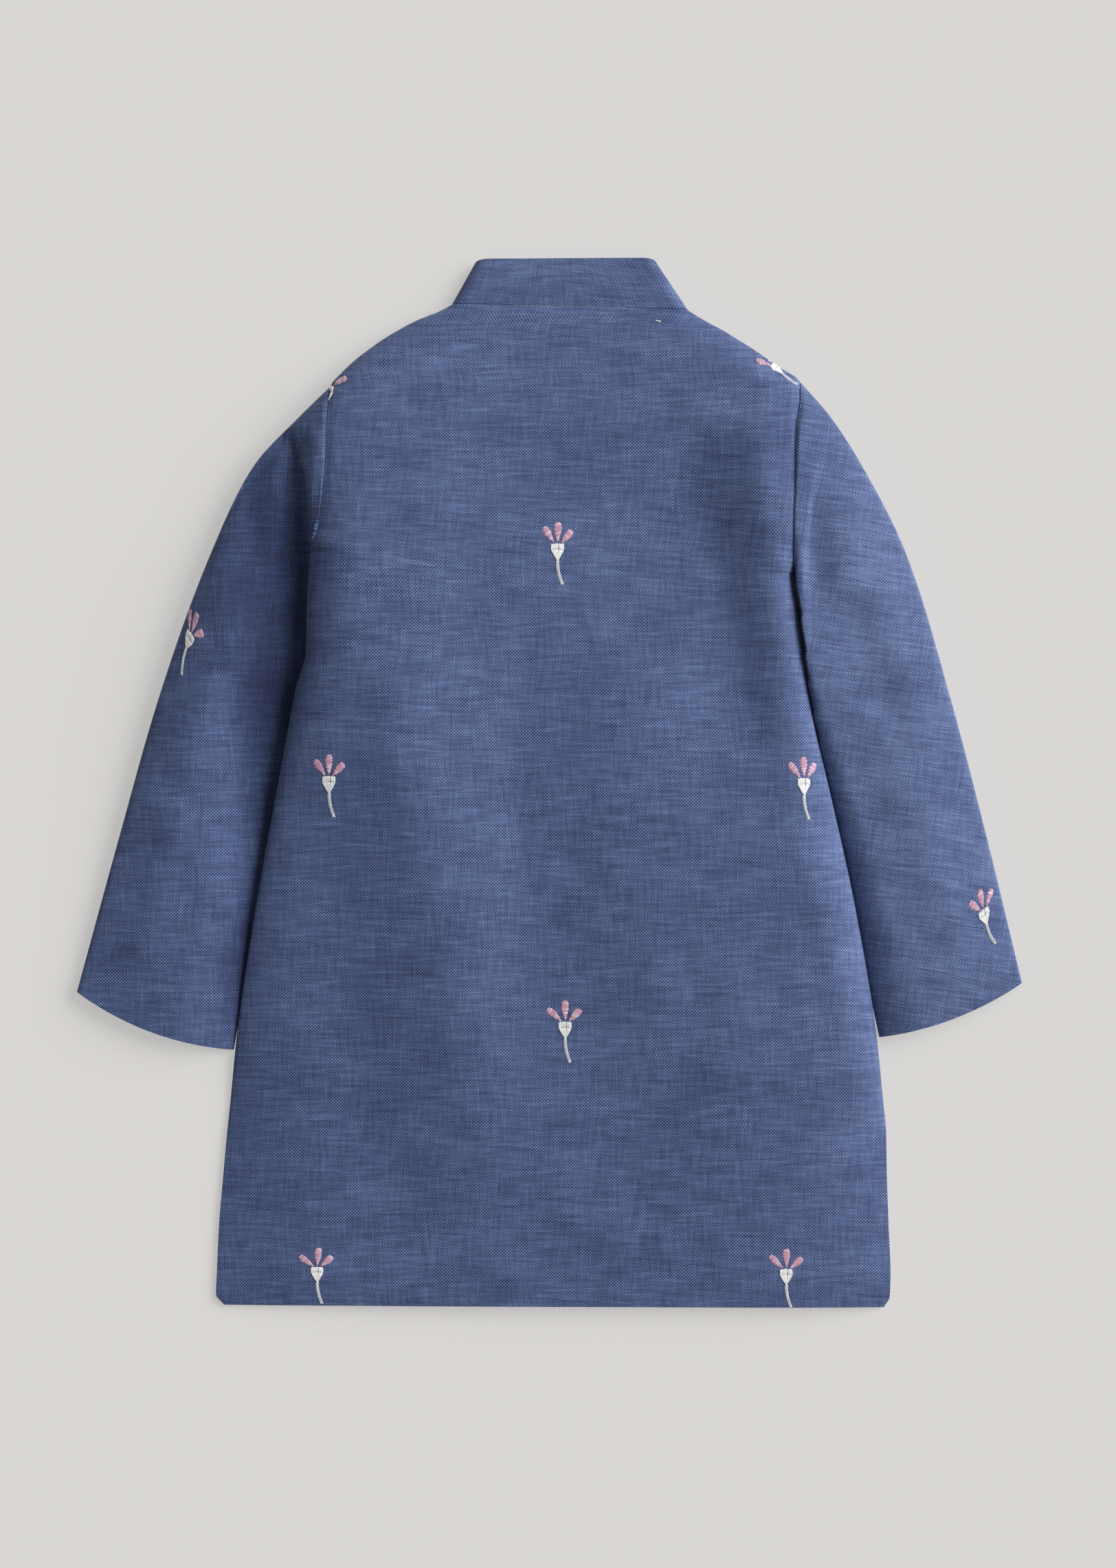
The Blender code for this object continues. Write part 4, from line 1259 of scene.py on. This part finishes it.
def surface_table(points):
    """Reads a table of surface points at fractional rows and columns, with its normals."""
    found = np.cross(np.gradient(points, axis=1), np.gradient(points, axis=0))
    found /= np.maximum(np.linalg.norm(found, axis=2, keepdims=True), 1e-9)
    found = found * np.sign(found[..., 2:].mean() or 1.0)

    def read(row, col):
        row = np.clip(row, 0, points.shape[0] - 1.001)
        col = np.clip(col, 0, points.shape[1] - 1.001)
        r = row.astype(int)
        c = col.astype(int)
        fr = (row - r)[..., None]
        fc = (col - c)[..., None]
        out = []
        for grid in (points, found):
            near = grid[r, c] * (1 - fc) + grid[r, c + 1] * fc
            far = grid[r + 1, c] * (1 - fc) + grid[r + 1, c + 1] * fc
            out.append(near * (1 - fr) + far * fr)
        return out
    return read


def arc_rows(rows, reach):
    """Each row of points, read every millimetre of its own length up to reach."""
    out = []
    for line in rows:
        length = lengths_along(line)
        want = np.arange(0, reach + 1)
        out.append(np.stack([np.interp(want, length, line[:, k]) for k in range(3)], axis=1))
    return np.array(out)


def back_at(x, y):
    """The back's surface at places in plan; False in the second result where there is none."""
    row = body_at(y)
    inside = np.clip(x, row["left"] + 0.1, row["right"] - 0.1)
    for _ in range(2):
        lean = row["tilt"] * ((inside - row["left"]) / (row["right"] - row["left"]) - 0.5)
        row = body_at(y - lean)
        inside = np.clip(x, row["left"] + 0.1, row["right"] - 0.1)
    lean = row["tilt"] * ((inside - row["left"]) / (row["right"] - row["left"]) - 0.5)
    return back_surface(y - lean, inside), np.abs(inside - x) < 0.05


def front_at(x, y):
    row = body_at(y)
    inside = np.clip(x, row["left"] + 0.1, row["right"] - 0.1)
    return front_surface(y, inside), np.abs(inside - x) < 0.05


def plan_patch(surface_at, spot, turn=0.0, under=False):
    """Local millimetres a, b along the cloth round a place in plan, and which of them lie on the cloth."""
    fine = np.linspace(-PATCH_SIDE, PATCH_SIDE, PATCH_FINE)[None, :]
    want = np.arange(-PATCH_HALF, PATCH_HALF + 1.0)
    rows = want[:, None]
    x = spot[0] + fine * math.cos(turn) - rows * math.sin(turn)
    y = spot[1] + fine * math.sin(turn) + rows * math.cos(turn)
    points, there = surface_at(x, y)
    out = []
    low = []
    high = []
    for line, good in zip(points, there):
        length = lengths_along(line)
        length = length - length[PATCH_FINE // 2]
        out.append(np.stack([np.interp(want, length, line[:, k]) for k in range(3)], axis=1))
        low.append(length[good].min() if good.any() else 99.0)
        high.append(length[good].max() if good.any() else -99.0)
    read = surface_table(np.array(out))

    def patch(a, b):
        found, normal = read(b + PATCH_HALF, a + PATCH_HALF)
        return found, -normal if under else normal

    def keep(place):
        k = int(round(min(max(place[1] + PATCH_HALF, 0), 2 * PATCH_HALF)))
        return low[k] + EDGE_MARGIN < place[0] < high[k] - EDGE_MARGIN
    return patch, keep


def sleeve_patch(side, place, edge_off):
    """A patch beside a sleeve's outer edge, measured along the cloth. place is millimetres along it."""
    along = (place + np.arange(-PATCH_HALF, PATCH_HALF + 1.0)) / SLEEVE_LENGTH
    dense = (1 - np.cos(math.pi * np.linspace(0, 1, 500))) / 2
    top = arc_rows(sleeve_surface(side, along[:, None], dense[None, :], True), PATCH_TOP)
    low = arc_rows(sleeve_surface(side, along[:, None], dense[None, :], False), PATCH_UNDER)[:, :0:-1]
    points = np.concatenate([low, top], axis=1)[::-1]
    if side > 0:
        points = points[:, ::-1]
    read = surface_table(points)
    zero = PATCH_UNDER if side < 0 else points.shape[1] - PATCH_UNDER - 1

    def spot(a, b):
        return read(PATCH_HALF + b, zero - side * edge_off + a)
    return spot


def new_store(flat=1.0):
    """Stitches gathered before they become one mesh. flat lowers them where they must stay low."""
    return {"points": [], "faces": [], "slots": [], "flat": flat}


def stitch(store, patch, start, end, width, tall, slot, keep=None):
    """One thread laid from start to end: a low rounded strip that dips into the cloth at its ends."""
    start = np.asarray(start, float)
    end = np.asarray(end, float)
    run = end - start
    length = float(np.linalg.norm(run))
    if length < 0.2:
        return
    if keep is not None and not keep((start + end) / 2):
        return
    flat = np.array([run[1], -run[0]]) / length
    along = np.linspace(0, 1, STITCH_STEPS + 1)
    turn = np.linspace(0, math.pi, STITCH_SIDES + 1)
    swell = np.minimum(1.0, np.minimum(along, 1 - along) / 0.16) ** 0.5
    half = width / 2 * (0.45 + 0.55 * swell)
    middle = start + run * along[:, None]
    a = middle[:, 0][:, None] + flat[0] * np.cos(turn)[None, :] * half[:, None]
    b = middle[:, 1][:, None] + flat[1] * np.cos(turn)[None, :] * half[:, None]
    spot, normal = patch(a, b)
    tall = tall * store["flat"]
    lift = STITCH_SINK + (tall * np.sin(turn)[None, :] + tall * 0.5) * swell[:, None]
    points = spot + normal * lift[..., None]
    base = len(store["points"])
    store["points"].extend(points.reshape(-1, 3))
    wide = STITCH_SIDES + 1
    for r in range(STITCH_STEPS):
        for c in range(STITCH_SIDES):
            k = base + r * wide + c
            store["faces"].append((k, k + 1, k + 1 + wide, k + wide))
            store["slots"].append(slot)


def petal(store, patch, base, length, width, lean, rng, keep):
    """Satin stitches across a petal that is pointed at its base and blunt at its tip."""
    axis = np.array([math.sin(lean), math.cos(lean)])
    side = np.array([axis[1], -axis[0]])
    count = int(length / PETAL_PITCH)
    for k in range(count):
        t = (k + 0.5) / count
        half = width / 2 * min(1.0, (t / 0.6) ** 0.75)
        if t > 0.78:
            half *= math.sqrt(max(0.0, 1 - 0.8 * ((t - 0.78) / 0.22) ** 2))
        spot = np.asarray(base) + axis * length * t
        slant = axis * rng.uniform(-0.12, 0.2) * half
        left = spot - side * (half + rng.uniform(-0.15, 0.2)) - slant
        right = spot + side * (half + rng.uniform(-0.15, 0.2)) + slant
        tone = 0 if rng.random() > PETAL_LIGHT else 1
        stitch(store, patch, left, right, PETAL_PITCH * 1.12, 0.26, tone, keep)


def calyx(store, patch, rng, keep):
    """Long cream stitches in two groups that come together at the waist."""
    for low, high, count in ((-3.4, 0.5, 7), (1.0, 3.3, 5)):
        for k in range(count):
            t = (k + 0.5) / count
            top = low + (high - low) * t
            bulge = 1.06 if abs(top) > 1.5 else 1.0
            start = np.array([top * bulge, 5.6 - 0.2 * abs(top) * rng.uniform(0.3, 1.0)])
            middle = np.array([top * 1.12, 2.2 - 0.3 * abs(top)])
            end = np.array([0.24 * top, -5.4 + abs(top) * 0.7 + rng.uniform(-0.3, 0.3)])
            tone = 2 + (rng.random() > 0.5)
            stitch(store, patch, start, middle, 0.8, 0.34, tone, keep)
            stitch(store, patch, middle + np.array([0.0, 0.5]), end, 0.8, 0.36, tone, keep)


def stem(store, patch, rng, keep):
    """A rope of short slanted stitches that curves away, with splayed ends."""
    count = int(STEM_LENGTH / STEM_PITCH)
    for k in range(count):
        t = k / count
        spot = np.array([STEM_BEND * t * t, STEM_TOP - STEM_LENGTH * t])
        half = 1.05 - 0.15 * t
        start = spot + np.array([-half, -STEM_SLANT * 0.5])
        end = spot + np.array([half, STEM_SLANT * 0.5])
        stitch(store, patch, start, end, 0.62, 0.34, 2 + (rng.random() > 0.6), keep)
    foot = np.array([STEM_BEND, STEM_TOP - STEM_LENGTH])
    for lean in (-0.9, -0.1, 0.8):
        stitch(store, patch, foot + np.array([0.0, 1.4]), foot + np.array([lean, -0.6]), 0.5, 0.26, 2, keep)


def flower(name, patch, seed, looks, keep=None, tall=1.0, left_lean=31, right_lean=41, flat=1.0):
    """One embroidered sprig: three pink petals over a cream calyx and stem."""
    rng = np.random.default_rng(seed)
    store = new_store(flat)

    def spot(a, b):
        return patch(a * (0.5 + 0.5 * tall), b * tall)

    left = math.radians(left_lean)
    right = math.radians(right_lean)
    for k, (base, length, width) in enumerate(PETALS):
        lean = (-left, right)[k] if k < 2 else math.radians(rng.uniform(-4, 4))
        petal(store, spot, base, length, width, lean, rng, keep)
    calyx(store, spot, rng, keep)
    stem(store, spot, rng, keep)
    return stitched(name, store, looks)


def build_flowers(looks):
    made = {"back": [], "front": [], "left": [], "right": []}
    for k, (x, y, turn, tall, left, right) in enumerate(BODY_FLOWERS):
        patch, keep = plan_patch(back_at, (x, y), math.radians(turn))
        made["back"].append(flower(f"flower_back_{k + 1}", patch, 20 + k, looks, keep, tall, left, right))
    for k, (x, y, left, right) in enumerate(FRONT_FLOWERS):
        patch, keep = plan_patch(front_at, (x, y), 0.0, True)
        name = f"flower_front_{k + 1}"
        made["front"].append(flower(name, patch, 60 + k, looks, keep, 1.0, left, right, FLAT_STITCH))
    for key, side, place, edge_off, seed in SLEEVE_FLOWERS:
        patch = sleeve_patch(side, place, edge_off)
        made[key].append(flower(f"flower_sleeve_{key}", patch, seed, looks))
    for key, side, seed in (("left", -1, 79), ("right", 1, 81)):
        patch = sleeve_patch(side, UNDER_FLOWER_PLACE, UNDER_FLOWER_OFF)
        name = f"flower_under_{key}"
        made[key].append(flower(name, patch, seed, looks, None, 1.0, 36, 40, FLAT_STITCH))
    return made


def placket_at(x, y):
    half = PLACKET_WIDTH / 2 - SEAM_GAP
    low = NECK_LOW - PLACKET_LENGTH + SEAM_GAP
    z = placket_lift(x - CENTRE, y, half, low, NECK_LOW - SEAM_GAP, 0.0, 0.0)
    x, y = np.broadcast_arrays(x, y)
    inside = (np.abs(x - CENTRE) < half) & (y > low)
    return np.stack([x, y, z], axis=-1), inside


def stitched(name, store, looks):
    """One piece from all the stitches of a store."""
    made = mesh_from(name, np.array(store["points"]), store["faces"], looks[0])
    for look in looks[1:]:
        made.data.materials.append(look)
    slots = np.array(store["slots"][:len(made.data.polygons)], np.int32)
    made.data.polygons.foreach_set("material_index", slots)
    made.data.shade_smooth()
    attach(made, "root")
    return made


def dashes(store, patch, start, end):
    """A line of machine stitches from start to end."""
    start = np.asarray(start, float)
    run = np.asarray(end, float) - start
    length = float(np.linalg.norm(run))
    count = int(length / TOPSTITCH_PITCH)
    for k in range(count):
        low = start + run * (k + 0.1) / count
        high = start + run * (k + 0.9) / count
        stitch(store, patch, low, high, 0.5, 0.2, 0)


def buttonhole(store, patch):
    for side in (-1, 1):
        for k in range(int(BUTTONHOLE_LENGTH / BUTTONHOLE_PITCH)):
            b = -BUTTONHOLE_LENGTH / 2 + (k + 0.5) * BUTTONHOLE_PITCH
            stitch(store, patch, (side * 0.25, b), (side * 1.5, b), 0.56, 0.2, 0)


def build_stitching(look, white):
    """The placket's topstitching and buttonholes, and a short white stitch on the back."""
    made = []
    low = NECK_LOW - PLACKET_LENGTH
    side = PLACKET_WIDTH / 2 - 2.2
    for k in range(3):
        middle = low + 20.0 + 40.0 * k
        patch, _ = plan_patch(placket_at, (CENTRE, middle), 0.0, True)
        store = new_store(SEWING_FLAT)
        top = 20.0 if k < 2 else 26.0
        for x in (-side, side):
            dashes(store, patch, (x, -20.0 if k else -17.6), (x, top))
        if k == 0:
            dashes(store, patch, (-side, -17.6), (side, -17.6))
            dashes(store, patch, (-side, -2.0), (side, -2.0))
        made.append(stitched(f"stitch_placket_{k + 1}", store, [look]))
    for k in range(BUTTON_COUNT):
        patch, _ = plan_patch(placket_at, (CENTRE, button_height(k)), 0.0, True)
        store = new_store(SEWING_FLAT)
        buttonhole(store, patch)
        made.append(stitched(f"buttonhole_{k + 1}", store, [look]))
    patch, _ = plan_patch(back_at, MARK_PLACE)
    store = new_store()
    stitch(store, patch, (-1.6, 0.4), (1.6, -0.3), 0.7, 0.3, 0)
    return made, stitched("mark_back", store, [white])


def button_height(k):
    return NECK_LOW - BUTTON_FIRST - k * BUTTON_PITCH


def build_button(k, look, thread):
    """A dished button without holes, its face towards the floor, with two double bars of thread on it."""
    count = BUTTON_SIDES
    turn = np.linspace(0, 2 * math.pi, count + 1)[:-1]
    spot = np.array([CENTRE, button_height(k), FLOOR_CLEAR])
    rings = []
    for radius, height in BUTTON_PROFILE:
        ring = np.stack([radius * np.cos(turn), radius * np.sin(turn), np.full(count, height)], axis=1)
        rings.append(spot + ring)
    points = np.concatenate(rings)
    faces = []
    for r in range(len(rings) - 1):
        for c in range(count):
            n = (c + 1) % count
            faces.append((r * count + c, r * count + n, (r + 1) * count + n, (r + 1) * count + c))
    faces.append(tuple(range(count - 1, -1, -1)))
    faces.append(tuple((len(rings) - 1) * count + c for c in range(count)))
    made = mesh_from(f"disc_button_{k + 1}", points, faces, look)
    made.data.shade_smooth()
    made.data.set_sharp_from_angle(angle=math.radians(50))
    claim(made, f"button_{k + 1}")
    dish = spot + np.array([0.0, 0.0, BUTTON_PROFILE[0][1]])

    def patch(a, b):
        flat = np.stack([dish[0] + a, dish[1] + b, np.full(np.shape(a), dish[2])], axis=-1)
        return flat, np.broadcast_to(np.array([0.0, 0.0, -1.0]), flat.shape)
    store = new_store(BUTTON_THREAD_FLAT)
    for x in (-0.8, 0.8):
        for shift in (-0.18, 0.18):
            stitch(store, patch, (x + shift, -1.15), (x + shift, 1.15), 0.4, 0.3, 0)
    stitched(f"button_thread_{k + 1}", store, [thread])


def speckled_look(name, colour, rough, kind):
    """A colour that varies finely, with a bump to match: plastic, or the strands of a thread."""
    scale, detail, low, high, dark, height, sheen = kind
    made, tree, shader = new_look(name)
    place = tree.nodes.new("ShaderNodeTexCoord")
    noise = tree.nodes.new("ShaderNodeTexNoise")
    noise.inputs["Scale"].default_value = scale
    noise.inputs["Detail"].default_value = detail
    tree.links.new(place.outputs["Object"], noise.inputs["Vector"])
    ramp = tree.nodes.new("ShaderNodeValToRGB")
    for stop, where, share in zip(ramp.color_ramp.elements, (low, high), (dark, 1.0)):
        stop.position = where
        stop.color = (*[c * share for c in colour], 1.0)
    tree.links.new(noise.outputs["Fac"], ramp.inputs["Fac"])
    tree.links.new(ramp.outputs["Color"], shader.inputs["Base Color"])
    shader.inputs["Roughness"].default_value = rough
    shader.inputs["Sheen Weight"].default_value = sheen
    add_bump(tree, shader, noise.outputs["Fac"], height, SPECKLE_DEPTH)
    return made


# Floor, light and camera

def build_camera():
    data = bpy.data.cameras.new("camera")
    data.lens = LENS
    data.sensor_width = 36.0
    data.clip_end = 20.0
    made = new_object("camera", data)
    made.location = (CAMERA_X, 0.0, CAMERA_HEIGHT)
    bpy.context.scene.camera = made


def build_floor():
    data = bpy.data.meshes.new("floor")
    corners = [(x * FLOOR_REACH, y * FLOOR_REACH, 0) for x, y in ((-1, -1), (1, -1), (1, 1), (-1, 1))]
    data.from_pydata(corners, [], [(0, 1, 2, 3)])
    look, _, shader = new_look("floor")
    shader.inputs["Base Color"].default_value = (*[c * FLOOR_SHARE for c in FLOOR_COLOUR], 1.0)
    shader.inputs["Emission Color"].default_value = (*FLOOR_COLOUR, 1.0)
    shader.inputs["Emission Strength"].default_value = FLOOR_GLOW
    shader.inputs["Roughness"].default_value = 0.95
    data.materials.append(look)
    new_object("floor", data)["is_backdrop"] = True


def build_light():
    data = bpy.data.lights.new("sun", "SUN")
    data.energy = SUN_STRENGTH
    data.angle = math.radians(SUN_ANGLE)
    made = new_object("sun", data)
    made.rotation_euler = Vector(SUN_FROM).to_track_quat("Z", "Y").to_euler()
    world = bpy.data.worlds.new("world")
    bpy.context.scene.world = world
    world.use_nodes = True
    shader = world.node_tree.nodes["Background"]
    shader.inputs["Color"].default_value = (1.0, 1.0, 1.0, 1.0)
    shader.inputs["Strength"].default_value = WORLD_STRENGTH
    bpy.context.scene.view_settings.view_transform = "Standard"


def save_sizes():
    boxes = [[[float(v) for v in corner] for corner in box] for box in (BEFORE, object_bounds())]


def declare_sheets(on):
    for name, width, length, area, rests_on in SHEETS:
        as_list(on.get(name, []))


def main():
    build_camera()
    build_floor()
    build_light()
    cloth = cloth_look("cloth")
    pieces = {
        "back": build_back(cloth),
        "front": build_front(cloth),
        "left": build_sleeve(-1, cloth),
        "right": build_sleeve(1, cloth),
        "collar": build_collar(cloth),
        "outer": build_placket("placket_outer", 0.0, 0.0, cloth),
        "inner": build_placket("placket_inner", PLACKET_INSET, PLACKET_CLOTH + PLACKET_STEP, cloth),
    }
    names = ("thread_pink", "thread_pink_light", "thread_cream", "thread_white")
    threads = [
        speckled_look(name, colour, EMBROIDERY_ROUGH, THREAD) for name, colour in zip(names, THREAD_COLOURS)
    ]
    on = build_flowers(threads)
    sewing = speckled_look("thread_blue", SEWING_COLOUR, SEWING_ROUGH, THREAD)
    made, mark = build_stitching(sewing, threads[3])
    on["outer"] = made
    on["back"].append(mark)
    plastic = speckled_look("button_blue", BUTTON_COLOUR, PLASTIC_ROUGH, PLASTIC)
    for k in range(BUTTON_COUNT):
        build_button(k, plastic, sewing)
    declare_sheets(on)
    save_sizes()


main()
